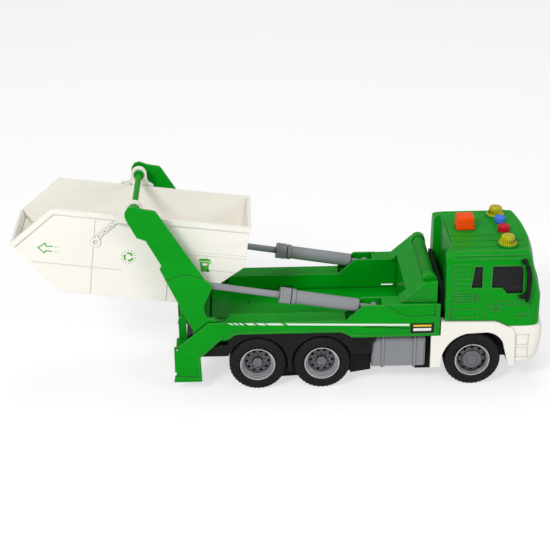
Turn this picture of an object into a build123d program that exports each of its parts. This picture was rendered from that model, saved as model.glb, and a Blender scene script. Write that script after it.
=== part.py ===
from build123d import *

import math
import os

# Toy skip loader truck, sizes in millimetres.
# X runs forward and is measured from a datum 75 mm behind the front axle, +Y is the left side, Z = 0 is the ground.
# Every piece is moved at the end so that the origin lies at the centre of the whole model's footprint.

# ---------------------------------------------------------------- driving sizes
WALL = 2.0                      # moulded plastic wall
SEAT = 0.30                     # gap left between pieces that are seated one beside the other
RUN_FIT = 0.08                  # radial gap of a turning fit
RELIEF = 0.5                    # height of raised mouldings
GROOVE = 0.5                    # width and depth of a panel seam

TYRE_R = 25.5
TYRE_W = 15.0
RIM_R = 16.0
AXLE_R = 2.0
FRONT_AXLE_X = 75.0
MID_AXLE_X = -60.5
REAR_AXLE_X = -118.2
WHEEL_OUT_Y = 56.2              # outer face of the tyres

SIDE_Y = 57.7                   # outer face of the side panels
INNER_Y = 38.9                  # face of the side boxes towards the bed
FLOOR_GAP = 3.0                 # bed floor above the tyres
BOX_H = 14.5                    # side boxes above the floor
FOOT_BOX_H = 28.8               # raised front part of the side boxes above the floor
LEG_FOOT_Z = 12.0               # underside of the rear legs
CAB_GAP = 7.5                   # bed's front edge behind the cab
BED_REAR_X = -159.0

ARM_BACK = 59.5                 # crossbar behind the arm pivot
ARM_UP = 112.5                  # crossbar above the arm pivot
PIVOT_X = -163.0
PIVOT_R = 3.0
ROOT_R = 11.5                   # round root of the arms
BAR_R = 2.6
COLLAR_R = 4.6
ARM_IN_Y = 51.5                 # face of the arms towards the skip
ARM_T = 2.2
ARM_ROOT_T = 3.0                # the lower half of an arm is one layer thicker

CYL_Y = 47.4                    # plane of the lifting cylinders
BARREL_R = 6.0
BARREL_LENGTH = 85.0            # foot pin to the end of the collar
ROD_R = 3.0
ROD_CLEAR = 0.35
FOOT_X = -14.0                  # barrel's pin in the side box
FOOT_PIN_R = 1.5

SKIP_Y = 35.0                   # half width of the skip's body
RIM_PROUD = 1.6                 # skip's rim band beyond the body
LUG_T = 4.0
LUG_R = 7.0

CAB_REAR_X = 49.0
NOSE_X = 134.4                  # front of the cab beside its corners
CAB_BOW = 4.5                   # how far the front bulges in the middle
CAB_Y = 55.5
CAB_H = 62.5                    # roof's edge above the joint with the white lower part
BUMPER_PROUD = 3.6              # bumper in front of the cab
BUMPER_BOW = 3.0

# ---------------------------------------------------------------- places that follow
FLOOR_Z = 2 * TYRE_R + FLOOR_GAP
DECK_Z = FLOOR_Z + BOX_H
FOOT_BOX_Z = FLOOR_Z + FOOT_BOX_H
PANEL_Z = FLOOR_Z + 3.5         # lower edge of the side panels over the wheels
SKIRT_Z = FLOOR_Z - WALL        # lower edge of the side panels elsewhere
FRAME_Z = FLOOR_Z - WALL - SEAT  # upper face of the frame
BED_FRONT_X = CAB_REAR_X - CAB_GAP
PANEL_OUT = -SIDE_Y + RELIEF    # outer and inner face of the right side panel
PANEL_IN = PANEL_OUT + WALL

PIVOT_Z = DECK_Z - 7.5
BAR_X = PIVOT_X - ARM_BACK
BAR_Z = PIVOT_Z + ARM_UP
EYE_X = PIVOT_X - 2.0           # rod's eye beside the arm
EYE_Z = PIVOT_Z + 41.4
FOOT_Z = FOOT_BOX_Z - 6.3
LUG_Y = SKIP_Y + 3.0            # inner face of the hanging lugs

CAB_BASE_Z = FLOOR_Z + 11.5     # joint between the green cab and the white lower part
CAB_ROOF_Z = CAB_BASE_Z + CAB_H
CAB_LOW_Z = CAB_BASE_Z - 6.2    # the same joint in front of the wheel
BUMPER_X = NOSE_X + BUMPER_PROUD


# ---------------------------------------------------------------- helpers
def block(x0, x1, y0, y1, z0, z1):
    """Box between pairs of coordinates."""
    centre = ((x0 + x1) / 2, (y0 + y1) / 2, (z0 + z1) / 2)
    return Pos(*centre) * Box(abs(x1 - x0), abs(y1 - y0), abs(z1 - z0))


def side_face(points, corner=0.0):
    """Face of an outline in the XZ plane, with its corners rounded."""
    face = make_face(Polyline(*[(x, 0, z) for x, z in points], close=True))
    return fillet(face.vertices(), corner) if corner > 0 else face


def carried(face, y0, y1):
    """Face in the XZ plane carried from y0 to y1."""
    return extrude(Pos(0, y0, 0) * face, amount=y1 - y0, dir=(0, 1, 0))


def slab(points, y0, y1):
    """Outline in the XZ plane carried from y0 to y1."""
    return carried(side_face(points), y0, y1)


def plan(points, z0, z1):
    """Outline in the XY plane carried from z0 to z1."""
    outline = Polyline(*[(x, y, z0) for x, y in points], close=True)
    return extrude(make_face(outline), amount=z1 - z0, dir=(0, 0, 1))


def head_face(points, corner=0.0):
    """Face of an outline in the YZ plane, with its corners rounded."""
    face = make_face(Polyline(*[(0, y, z) for y, z in points], close=True))
    return fillet(face.vertices(), corner) if corner > 0 else face


def ahead(face, x0, x1):
    """Face in the YZ plane carried from x0 to x1."""
    return extrude(Pos(x0, 0, 0) * face, amount=x1 - x0, dir=(1, 0, 0))


def cross_pin(x, z, radius, y0, y1):
    """Round bar along Y."""
    return Pos(x, (y0 + y1) / 2, z) * Rot(90, 0, 0) * Cylinder(radius, abs(y1 - y0))


def long_bar(x0, x1, y, z, radius):
    """Round bar along X."""
    return Pos((x0 + x1) / 2, y, z) * Rot(0, 90, 0) * Cylinder(radius, abs(x1 - x0))


def post(x, y, z0, z1, radius):
    """Round bar along Z."""
    return Pos(x, y, (z0 + z1) / 2) * Cylinder(radius, z1 - z0)


def turned(points, x, z):
    """Profile of (distance along Y, radius) pairs turned about the axle through x and z."""
    outline = Polyline(*[(radius, y, 0) for y, radius in points], close=True)
    return Pos(x, 0, z) * revolve(make_face(outline), axis=Axis.Y)


def moved(points, x, z):
    """Points (x, z) shifted to a new datum."""
    return [(px + x, pz + z) for px, pz in points]


def strip(path, width):
    """Closed outline of a strip of constant width on the left of an open path of (x, z) points."""
    units = []
    for (ax, az), (bx, bz) in zip(path, path[1:]):
        length = math.hypot(bx - ax, bz - az)
        units.append(((bx - ax) / length, (bz - az) / length))
    edge = []
    for i, (x, z) in enumerate(path):
        (ux, uz), (vx, vz) = units[max(i - 1, 0)], units[min(i, len(units) - 1)]
        nx, nz = -(uz + vz), ux + vx
        scale = 2 * width / (nx * nx + nz * nz)
        edge.append((x + nx * scale, z + nz * scale))
    return path + edge[::-1]


def bowed_prism(low, high, half, corner, bow, inset):
    """Long body behind a bulging front that rises from one point (x, z) to another, with rounded corners."""
    span = math.hypot(high[0] - low[0], high[1] - low[1])
    up = ((high[0] - low[0]) / span, 0, (high[1] - low[1]) / span)
    rear, start, side = -3 * half, -corner, half - inset
    edge, turn = half - corner, (corner - inset) * math.sqrt(0.5)
    front = [(-inset, -edge), (bow - inset, 0), (-inset, edge)]
    outline = [
        Line((rear, -side), (start, -side)),
        ThreePointArc((start, -side), (start + turn, -edge - turn), front[0]),
        ThreePointArc(*front),
        ThreePointArc(front[2], (start + turn, edge + turn), (start, side)),
        Line((start, side), (rear, side)),
        Line((rear, side), (rear, -side)),
    ]
    frame = Plane(origin=(low[0], 0, low[1]), x_dir=(up[2], 0, -up[0]), z_dir=up)
    return extrude(frame * make_face(Wire(outline)), amount=3 * half, both=True)


def tapered(points, x, y, z, height, top_scale):
    """Outline in plan raised by the height, where it is smaller by top_scale."""
    low = make_face(Polyline(*[(px, py, 0) for px, py in points], close=True))
    high = make_face(Polyline(*[(px * top_scale, py * top_scale, height) for px, py in points], close=True))
    return Pos(x, y, z) * loft([low, high], ruled=True)


def toothed_circle(radius, depth, teeth):
    """Plan outline of a round body with flutes of the given depth."""
    points = []
    for i in range(2 * teeth):
        reach = radius - depth * (i % 2)
        points.append((reach * math.cos(math.pi * i / teeth), reach * math.sin(math.pi * i / teeth)))
    return points


def toothed_square(length, width, depth, teeth):
    """Plan outline of a square body with the same number of flutes on each side."""
    points = []
    corners = [(-1, -1), (1, -1), (1, 1), (-1, 1)]
    for (ax, ay), (bx, by) in zip(corners, corners[1:] + corners[:1]):
        for i in range(1, 2 * teeth + 1):
            along = i / (2 * teeth + 1)
            inward = 1 - (i % 2) * 2 * depth / length
            px, py = ax + (bx - ax) * along, ay + (by - ay) * along
            points.append((px * length / 2 * (inward if ax == bx else 1),
                           py * width / 2 * (inward if ay == by else 1)))
    return points


def other_side(shape):
    """The same piece on the left side."""
    return mirror(shape, about=Plane.XZ)


def both(shape):
    """The piece together with its mirror image."""
    return shape + other_side(shape)


# ---------------------------------------------------------------- bed
LEG_FRONT_X = PIVOT_X - 5.3
LEG_REAR_X = PIVOT_X - 27.5
# lower edge of the side panel from the leg's foot to the front, over the wheels
PANEL_EDGE = [
    (LEG_FRONT_X, LEG_FOOT_Z), (LEG_FRONT_X - 0.8, SKIRT_Z - 17.4), (PIVOT_X + 12.4, SKIRT_Z + 0.2),
    (REAR_AXLE_X - 26.2, SKIRT_Z + 0.2), (REAR_AXLE_X - 21.3, PANEL_Z - 1.5), (REAR_AXLE_X - 16.8, PANEL_Z),
    (MID_AXLE_X + 15.7, PANEL_Z), (MID_AXLE_X + 21.5, PANEL_Z - 2.1), (MID_AXLE_X + 26.5, SKIRT_Z),
    (BED_FRONT_X, SKIRT_Z), (BED_FRONT_X, DECK_Z + 2.5),
]
RECESS_X = -7.3                 # front of the recess in which the cylinder's foot stands
CHEEK_LOW_X = -39.4
CHEEK_TOP_X = -24.0
SHOULDER_X = 12.0
PANEL_TOP = [
    (SHOULDER_X, DECK_Z + 2.5), (-4.5, FOOT_BOX_Z), (CHEEK_TOP_X, FOOT_BOX_Z), (CHEEK_LOW_X, DECK_Z),
    (PIVOT_X + 1.5, DECK_Z), (LEG_REAR_X + 2.5, FLOOR_Z - 8.5), (LEG_REAR_X, FLOOR_Z - 14.0),
    (LEG_REAR_X, 22.0), (LEG_REAR_X - WALL, LEG_FOOT_Z),
]
DECK_REAR_IN_X = PIVOT_X + 21.3   # the deck's rear edge runs aslant in plan
DECK_REAR_OUT_X = PIVOT_X + 15.8
RIM_W = 2.2                     # raised strip along the panel's lower edge
BRACKET_Z = FLOOR_Z - 9.0       # underside of the arm bracket
BOX_FLANGE = 2.5                # flange in front of the panel


def panel():
    """Right side panel with its leg, the raised strip along its lower edge and the spread foot."""
    plate = slab(PANEL_EDGE + PANEL_TOP, PANEL_OUT, PANEL_IN)
    rim = slab(strip(PANEL_EDGE, RIM_W), -SIDE_Y, PANEL_IN)
    foot = slab([(LEG_REAR_X - WALL - 1, LEG_FOOT_Z - 1.5), (LEG_FRONT_X, LEG_FOOT_Z - 1.5),
                 (LEG_FRONT_X, LEG_FOOT_Z + 2), (LEG_REAR_X - WALL, LEG_FOOT_Z + 4)], -SIDE_Y - RELIEF,
                 PANEL_IN)
    flange = block(BED_FRONT_X - 1, BED_FRONT_X + BOX_FLANGE, -SIDE_Y, PANEL_IN, SKIRT_Z, FOOT_BOX_Z)
    return plate + rim + foot + flange


def front_box():
    """Raised front part of the right side box, behind which the cylinder's foot turns on its pin."""
    inner = slab([(CHEEK_LOW_X, DECK_Z - WALL), (BED_FRONT_X, DECK_Z - WALL), (BED_FRONT_X, FOOT_BOX_Z),
                  (CHEEK_TOP_X, FOOT_BOX_Z), (CHEEK_LOW_X, DECK_Z)], -INNER_Y - WALL, -INNER_Y)
    outer = slab([(-4.5, FOOT_BOX_Z), (SHOULDER_X, DECK_Z), (BED_FRONT_X, DECK_Z), (BED_FRONT_X, FOOT_BOX_Z)],
                 PANEL_OUT + 0.8, PANEL_IN)
    top = block(RECESS_X, BED_FRONT_X, PANEL_OUT + 0.8, -INNER_Y, FOOT_BOX_Z - WALL, FOOT_BOX_Z)
    wall = block(RECESS_X, RECESS_X + WALL, PANEL_OUT, -INNER_Y, FLOOR_Z + WALL, FOOT_BOX_Z)
    return inner + outer + top + wall + cross_pin(FOOT_X, FOOT_Z, FOOT_PIN_R, PANEL_OUT + 1, -INNER_Y - 1)


def arm_seat():
    """Right bracket round the arm's root: inner plate, base, the leg's rear flange, stand and the pin."""
    root = [(-12.5, 0), (-12.5, -16.0), (18.0, -16.0), (18.0, 1.5), (7.0, 8.0), (-4.0, 11.0)]
    plate = slab(moved(root, PIVOT_X, PIVOT_Z), -INNER_Y - 9.6, -INNER_Y - 7.0)
    joiner = block(PIVOT_X - 12.5, PIVOT_X + 18.0, -INNER_Y - 9.6, -INNER_Y, BRACKET_Z, BRACKET_Z + 2.5)
    base = block(LEG_REAR_X, PIVOT_X - 3, PANEL_IN - 1, -INNER_Y, BRACKET_Z - 2, BRACKET_Z + 0.5)
    rear = block(LEG_REAR_X - WALL, LEG_REAR_X, PANEL_OUT, PANEL_IN + 3, 20.0, BRACKET_Z - 1.5)
    stand_x = PIVOT_X - 22.3
    stand = slab([(stand_x - 3, 34), (stand_x + 4, 34), (stand_x + 4, DECK_Z - 2.5),
                  (stand_x + 2.4, DECK_Z - 1),
                  (stand_x + 2.4, DECK_Z + 12.5), (stand_x - 1, DECK_Z + 12.5), (stand_x - 1, DECK_Z - 1),
                  (stand_x - 3, DECK_Z - 2.5)], -INNER_Y - 2.6, -INNER_Y)
    rib = slab(strip([(stand_x - 2, 36), (stand_x - 2, DECK_Z - 4)], 0.8), -INNER_Y - 2.6 - RELIEF,
               -INNER_Y - 2)
    pin = cross_pin(PIVOT_X, PIVOT_Z, PIVOT_R, PANEL_IN - 1, -INNER_Y - 8.0)
    return plate + joiner + base + rear + stand + rib + pin


FLOOR_SLOT_X = (-97.0, -83.0)   # drain slots at the foot of the inner walls
FRONT_SLOT_X = (1.5, 12.5)


def side_box():
    """Right side of the bed in one moulding: panel and leg, deck, inner wall, front box and arm bracket."""
    deck = plan([(DECK_REAR_IN_X, -INNER_Y), (CHEEK_LOW_X, -INNER_Y), (CHEEK_LOW_X, PANEL_IN - 1),
                 (DECK_REAR_OUT_X, PANEL_IN - 1)], DECK_Z - WALL, DECK_Z)
    inner = block(DECK_REAR_IN_X, BED_FRONT_X, -INNER_Y - WALL, -INNER_Y, FLOOR_Z - WALL, DECK_Z)
    bulkhead = plan([(DECK_REAR_IN_X, -INNER_Y), (DECK_REAR_IN_X + WALL, -INNER_Y),
                     (DECK_REAR_OUT_X + WALL, PANEL_IN - 1), (DECK_REAR_OUT_X, PANEL_IN - 1)],
                    PANEL_Z, DECK_Z)
    tie = block(BED_REAR_X, DECK_REAR_IN_X + 1, -INNER_Y - WALL, -INNER_Y, FLOOR_Z - 11, FLOOR_Z)
    shape = panel() + deck + inner + bulkhead + front_box() + arm_seat() + tie
    shape -= block(*FLOOR_SLOT_X, -INNER_Y - WALL - 1, -INNER_Y + 1, FLOOR_Z + 1.2, FLOOR_Z + 2.8)
    shape -= block(*FRONT_SLOT_X, -INNER_Y - WALL - 1, -INNER_Y + 1, FLOOR_Z + 1.2, FLOOR_Z + 3.2)
    return shape


def bed_floor():
    """Floor between the side boxes with its rear lip, cross beam, slots and screw bosses."""
    floor = block(BED_REAR_X, BED_FRONT_X, -INNER_Y, INNER_Y, FLOOR_Z - WALL, FLOOR_Z)
    beam = block(PIVOT_X - 3.5, PIVOT_X + 2.0, -INNER_Y, INNER_Y, FLOOR_Z - 11, FLOOR_Z + 1.2)
    link = block(PIVOT_X, BED_REAR_X + 1, -INNER_Y, INNER_Y, FLOOR_Z - 11, FLOOR_Z - 8)
    apron = block(BED_REAR_X, BED_REAR_X + WALL, -INNER_Y, INNER_Y, FLOOR_Z - 11, FLOOR_Z - 1)
    shape = floor + beam + link + apron
    for x, y in ((-124.5, 12.5), (-124.5, -12.5), (-20.0, 0.0)):
        shape += post(x, y, FLOOR_Z - 1, FLOOR_Z + 0.3, 2.6)
        shape -= post(x, y, FLOOR_Z - 1.4, FLOOR_Z + 1, 1.4)
    return shape - block(PIVOT_X + 9, PIVOT_X + 18, -19, -17, FLOOR_Z - WALL - 1, FLOOR_Z + 1)


HOOD_X = BED_FRONT_X - 26.2     # upright face below the slope
HOOD_FACE_Z = FOOT_BOX_Z + 5.7
SLOPE_FOOT_X = HOOD_X - 6.1     # where the slope meets the side boxes
HEAD_Y = 52.0
HOOD_Z = FLOOR_Z + 46.1         # head of the slope
TUBE_X = BED_FRONT_X - 6.3
TUBE_Z = FLOOR_Z + 46.8
TUBE_R = 5.2
TUBE_Y = 46.0
HOOD_TOP = [(BED_FRONT_X - 13, HOOD_Z), (BED_FRONT_X - 10, HOOD_Z + 0.8), (BED_FRONT_X, HOOD_Z - 0.6)]
CHEEK_TOP = [(BED_FRONT_X - 13.5, HOOD_Z - 0.4), (BED_FRONT_X - 12.2, HOOD_Z + 1.1),
             (BED_FRONT_X, HOOD_Z + 2.2)]
CHEEK_RIBS = [
    # (x low, x high, z high above the box top)
    (13.6, 27.0, 13.6), (19.8, 33.4, 13.6), (25.9, 38.0, 12.0), (32.4, 38.4, 6.2),
]
TUBE_RIBS = 15
TUBE_RIB_PITCH = 4.4


def headboard():
    """Sloping headboard at the front of the bed with ribbed cheeks and a ribbed top tube."""
    inside = INNER_Y - SEAT
    foot = FOOT_BOX_Z + SEAT
    hood = side_face([(HOOD_X, FLOOR_Z), (HOOD_X, HOOD_FACE_Z)] + HOOD_TOP + [(BED_FRONT_X, FLOOR_Z)])
    hollow = offset(hood, amount=-WALL, kind=Kind.INTERSECTION)
    hood = carried(hood, -inside, inside) - carried(hollow, -inside + WALL, inside - WALL)
    hood -= block(BED_FRONT_X - WALL - 1, BED_FRONT_X + 1, -inside + WALL, inside - WALL, FLOOR_Z - 1,
                  HOOD_Z - 8)
    hood -= block(HOOD_X - 1, HOOD_X + WALL + 1, 22, 34, FLOOR_Z + 1.2, FLOOR_Z + 2.6)
    cheek = side_face([(SLOPE_FOOT_X, foot)] + CHEEK_TOP + [(BED_FRONT_X, foot)])
    hollow = offset(cheek, amount=-WALL, kind=Kind.INTERSECTION)
    cheek = carried(cheek, -HEAD_Y, -inside + WALL) - carried(hollow, -HEAD_Y + WALL, -inside)
    for x0, x1, rise in CHEEK_RIBS:
        line = [(x0, foot + 1.4), (x1, foot + rise)]
        cheek += slab(strip(line, 0.9), -HEAD_Y - RELIEF, -HEAD_Y + 1)
    cheek += slab(strip([(SLOPE_FOOT_X + 1.5, foot), (BED_FRONT_X, foot)], 1.0), -HEAD_Y - RELIEF,
                  -HEAD_Y + 1)
    shape = hood + both(cheek) + cross_pin(TUBE_X, TUBE_Z, TUBE_R, -TUBE_Y, TUBE_Y)
    shape += both(cross_pin(TUBE_X, TUBE_Z, TUBE_R + 1.4, -TUBE_Y, -TUBE_Y + 7))
    for i in range(TUBE_RIBS):
        y = (i - (TUBE_RIBS - 1) / 2) * TUBE_RIB_PITCH
        shape += cross_pin(TUBE_X, TUBE_Z, TUBE_R + RELIEF, y - 1.1, y + 1.1)
    return shape


# ---------------------------------------------------------------- cab
CAB_SIDE = [
    (CAB_REAR_X, CAB_BASE_Z), (NOSE_X - 41, CAB_BASE_Z - 1), (NOSE_X - 36.5, CAB_BASE_Z - 2.4),
    (NOSE_X - 29.1, CAB_LOW_Z), (NOSE_X + 20, CAB_LOW_Z), (NOSE_X + 20, CAB_ROOF_Z),
    (CAB_REAR_X + 3.5, CAB_ROOF_Z), (CAB_REAR_X, CAB_ROOF_Z - 4),
]
# the front from its foot to the roof
NOSE = [(NOSE_X, CAB_LOW_Z), (NOSE_X - 0.2, CAB_ROOF_Z - 44), (NOSE_X - 2.4, CAB_ROOF_Z - 34),
        (NOSE_X - 9.4, CAB_ROOF_Z - 6.5), (NOSE_X - 12.9, CAB_ROOF_Z)]
CAB_FRONT = [(-CAB_Y, CAB_LOW_Z - 4), (CAB_Y, CAB_LOW_Z - 4), (CAB_Y, CAB_ROOF_Z - 36),
             (CAB_Y - 2.5, CAB_ROOF_Z - 9),
             (CAB_Y - 5.5, CAB_ROOF_Z - 3), (CAB_Y - 11, CAB_ROOF_Z), (-CAB_Y + 11, CAB_ROOF_Z),
             (-CAB_Y + 5.5, CAB_ROOF_Z - 3), (-CAB_Y + 2.5, CAB_ROOF_Z - 9), (-CAB_Y, CAB_ROOF_Z - 36)]
REAR_RECESS = 5.5
NOSE_CORNER = 9.0
CAB_PLAN = [(CAB_REAR_X, -CAB_Y), (NOSE_X + 20, -CAB_Y), (NOSE_X + 20, CAB_Y), (CAB_REAR_X, CAB_Y),
            (CAB_REAR_X, 39),
            (CAB_REAR_X + REAR_RECESS, 36), (CAB_REAR_X + REAR_RECESS, -36), (CAB_REAR_X, -39)]
WINDOW_TOP_Z = CAB_ROOF_Z - 11
SILL_Z = WINDOW_TOP_Z - 20.5
DOOR_X = 84.2                   # door's rear seam
DOOR_WINDOW = [(DOOR_X + 4.7, SILL_Z), (DOOR_X + 5, WINDOW_TOP_Z), (DOOR_X + 30.4, WINDOW_TOP_Z),
               (DOOR_X + 32.4, WINDOW_TOP_Z - 3.5), (DOOR_X + 32.8, SILL_Z - 5.6),
               (DOOR_X + 18.8, SILL_Z - 5.6),
               (DOOR_X + 14.0, SILL_Z)]
REAR_WINDOW = [(DOOR_X - 13.4, SILL_Z + 0.3), (DOOR_X - 10.6, WINDOW_TOP_Z), (DOOR_X - 3.6, WINDOW_TOP_Z),
               (DOOR_X - 3.6, SILL_Z + 0.3)]
WINDSCREEN = [(-CAB_Y + 9, SILL_Z - 4), (CAB_Y - 9, SILL_Z - 4), (CAB_Y - 11.5, WINDOW_TOP_Z + 1.5),
              (-CAB_Y + 11.5, WINDOW_TOP_Z + 1.5)]
WINDOW_FRAME = 1.1
ROOF_STEPS = [
    # (half width, rise above the roof's edge)
    (CAB_Y - 11.0, 0.4), (CAB_Y - 19.7, 0.85), (CAB_Y - 30.9, 1.3), (CAB_Y - 42.0, 1.7),
]
LOUVRES = [
    # (height below the roof's edge, width of the bar)
    (9.1, 1.3), (13.6, 1.3), (17.8, 1.3), (22.1, 1.3), (26.4, 1.3), (30.6, 1.3),
    (35.0, 0.7), (37.4, 0.7), (39.9, 0.7), (42.4, 0.7), (44.9, 0.7),
]
GRILLE_Z = (CAB_LOW_Z + 4, CAB_ROOF_Z - 47)
GRILLE_Y = 34.0
GRILLE_DEPTH = 1.4
SLATS = 5


def cab_solid(inset):
    """Solid of the cab, shrunk by the inset on every face and grown where it is negative."""
    side = side_face(CAB_SIDE)
    front = head_face(CAB_FRONT)
    above = make_face(Polyline(*[(x, y, 0) for x, y in CAB_PLAN], close=True))
    if inset != 0:
        side = offset(side, amount=-inset, kind=Kind.INTERSECTION)
        front = offset(front, amount=-inset, kind=Kind.INTERSECTION)
        above = offset(above, amount=-inset, kind=Kind.INTERSECTION)
    reach = 2 * CAB_Y
    long_way = carried(side, -reach, reach)
    wide_way = ahead(front, 0, 2 * NOSE_X)
    shape = long_way & wide_way & extrude(above, amount=2 * CAB_ROOF_Z, dir=(0, 0, 1))
    for low, high in zip(NOSE, NOSE[1:]):
        shape &= bowed_prism(low, high, CAB_Y, NOSE_CORNER, CAB_BOW, inset)
    return shape


def ring(outline, corner):
    """Right-hand frame round a window's outline."""
    face = side_face(outline, corner)
    return carried(offset(face, amount=WINDOW_FRAME, kind=Kind.ARC), -CAB_Y - 5, -CAB_Y + 8)


def bar_between(x0, x1, z, width):
    """Right-hand bar along X, to be trimmed to the cab's side."""
    return block(x0, x1, -CAB_Y - 5, -CAB_Y + 8, z - width / 2, z + width / 2)


def side_mouldings():
    """Right-hand raised parts of the cab's side, before they are trimmed to its surface."""
    louvre_x = (CAB_REAR_X + 6, CAB_REAR_X + 21)
    shape = ring(DOOR_WINDOW, 1.4) + ring(REAR_WINDOW, 1.0)
    for below, width in LOUVRES:
        shape += bar_between(*louvre_x, CAB_ROOF_Z - below, width)
    for i in range(4):
        x = louvre_x[1] + 2.4 + 1.5 * i
        shape += block(x - 0.35, x + 0.35, -CAB_Y - 5, -CAB_Y + 8, CAB_ROOF_Z - 45, CAB_ROOF_Z - 36)
    for below in (1.2, 4.4):
        shape += block(CAB_REAR_X + 7, NOSE_X - 14, -CAB_Y - 5, -CAB_Y + 12, CAB_ROOF_Z - below - 1.1,
                       CAB_ROOF_Z - below)
    for x0, x1, z0, z1 in ((CAB_REAR_X + 3, DOOR_X - 7, CAB_BASE_Z + 2.5, CAB_BASE_Z + 11.5),
                           (DOOR_X + 5.3, DOOR_X + 14.2, CAB_BASE_Z + 8.6, CAB_BASE_Z + 12.6),
                           (DOOR_X + 28.5, DOOR_X + 37.2, CAB_BASE_Z + 1.6, CAB_BASE_Z + 6.0)):
        frame = block(x0, x1, -CAB_Y - 5, -CAB_Y + 8, z0, z1)
        shape += frame - block(x0 + 0.8, x1 - 0.8, -CAB_Y - 6, -CAB_Y + 9, z0 + 0.8, z1 - 0.8)
    return shape


def side_seams():
    """Right-hand seams of the door and the crease below the window, before they are trimmed to their depth."""
    rear_seam = [(DOOR_X, CAB_BASE_Z - 1), (DOOR_X, SILL_Z - 1)]
    front_seam = [(NOSE_X - 9.4, CAB_LOW_Z + 4), (NOSE_X - 10.0, CAB_ROOF_Z - 44),
                  (NOSE_X - 15.0, CAB_ROOF_Z - 10)]
    post_seam = [(CAB_REAR_X + 5, CAB_BASE_Z + 1), (CAB_REAR_X + 5, CAB_ROOF_Z - 12)]
    crease = [(DOOR_X, CAB_ROOF_Z - 48), (NOSE_X - 9.0, CAB_ROOF_Z - 48)]
    sill = [(DOOR_X + 1, CAB_ROOF_Z - 44.6), (NOSE_X - 14.0, CAB_ROOF_Z - 44.6)]
    shape = slab(strip(rear_seam, GROOVE), -CAB_Y - 5, -CAB_Y + 8)
    for path in (front_seam, post_seam, crease, sill):
        shape += slab(strip(path, GROOVE), -CAB_Y - 5, -CAB_Y + 8)
    for x in (DOOR_X + 7.2, DOOR_X + 10.6):
        shape += block(x, x + 2.0, -CAB_Y - 5, -CAB_Y + 8, CAB_BASE_Z + 9.8, CAB_BASE_Z + 11.4)
    return shape


def cab_shell():
    """Green cab: a hollow shell with stepped roof, framed windows, louvres, door seams and grille recess."""
    core = cab_solid(WALL)
    shell = cab_solid(0)
    for half, rise in ROOF_STEPS:
        shell += slab([(CAB_REAR_X + 7, CAB_ROOF_Z - 1), (CAB_REAR_X + 7.6, CAB_ROOF_Z + rise),
                       (NOSE_X - 14.0, CAB_ROOF_Z + rise), (NOSE_X - 12.2, CAB_ROOF_Z - 1)], -half, half)
    for x, y, length, width, rise in ROOF_PADS:
        shell += Pos(x, y,
                     CAB_ROOF_Z + rise / 2) * extrude(RectangleRounded(length, width,
                                                                       min(length, width) / 2.01),
                                                            amount=rise / 2, both=True)
    skin = cab_solid(-RELIEF) - cab_solid(WALL / 2)
    shell += both(side_mouldings() & skin)
    shell -= both(side_seams() - cab_solid(GROOVE))
    shell -= core
    floor_hole = CAB_Y - WALL - 1
    shell -= block(CAB_REAR_X + REAR_RECESS + WALL, NOSE_X - WALL - 1, -floor_hole, floor_hole,
                   CAB_LOW_Z - 5, CAB_BASE_Z + 9)
    for outline, corner in ((DOOR_WINDOW, 1.4), (REAR_WINDOW, 1.0)):
        shell -= carried(side_face(outline, corner), -CAB_Y - 6, CAB_Y + 6)
    shell -= ahead(head_face(WINDSCREEN, 3.0), NOSE_X - 15, NOSE_X + 10)
    return shell - (grille_block(GRILLE_Y + SEAT, *GRILLE_Z) - cab_solid(GRILLE_DEPTH))


def grille_block(half, low, high):
    """Block through the front of the cab, of the grille's width and between two heights."""
    return block(NOSE_X - 4, NOSE_X + 10, -half, half, low, high)


def grille():
    """Black slatted grille in the front of the cab."""
    low, high = GRILLE_Z[0] + SEAT, GRILLE_Z[1] - SEAT
    shape = grille_block(GRILLE_Y, low, high) & (cab_solid(RELIEF) - cab_solid(GRILLE_DEPTH))
    slats = cab_solid(-2 * RELIEF) - cab_solid(GRILLE_DEPTH)
    pitch = (high - low) / SLATS
    for i in range(SLATS):
        middle = low + pitch * (i + 0.5)
        shape += grille_block(GRILLE_Y, middle - 0.8, middle + 0.8) & slats
    return shape


def cab_glazing():
    """Dark insert behind the windows, one closed band round the sides and the front."""
    band = cab_solid(WALL + SEAT) - cab_solid(WALL + SEAT + 1.2)
    return band & block(CAB_REAR_X + 18, NOSE_X + 10, -CAB_Y, CAB_Y, SILL_Z - 8, WINDOW_TOP_Z + 3.5)


# wheel arch, as (x, z) from the front axle: rear foot, arc over the rear, flat top, arc and foot in front
ARCH_REACH = TYRE_R + 2.4
ARCH_TOP = TYRE_R + 3.0


def arch_face():
    """Opening over the front wheel: round behind, flat on top and steep in front."""
    x, z, r = FRONT_AXLE_X, TYRE_R, ARCH_REACH
    rear_foot, rear_low = (x - r - 1.2, z - 6.0), (x - r - 0.4, z + 3.5)
    rear_mid, rear_top = (x - 0.75 * r, z + 0.68 * r), (x - 0.22 * r, z + ARCH_TOP - 0.8)
    top = (x + 12.0, z + ARCH_TOP)
    front_mid, front_low = (x + 21.4, z + ARCH_TOP - 3.9), (x + r - 1.0, z + 17.0)
    front_foot = (x + r + 4.5, z - 6.0)

    def at(p):
        return (p[0], 0, p[1])

    edges = [Line(at(rear_foot), at(rear_low)), ThreePointArc(at(rear_low), at(rear_mid), at(rear_top)),
             Line(at(rear_top), at(top)), ThreePointArc(at(top), at(front_mid), at(front_low)),
             Line(at(front_low), at(front_foot)), Line(at(front_foot), at(rear_foot))]
    return make_face(Wire(edges))


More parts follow.
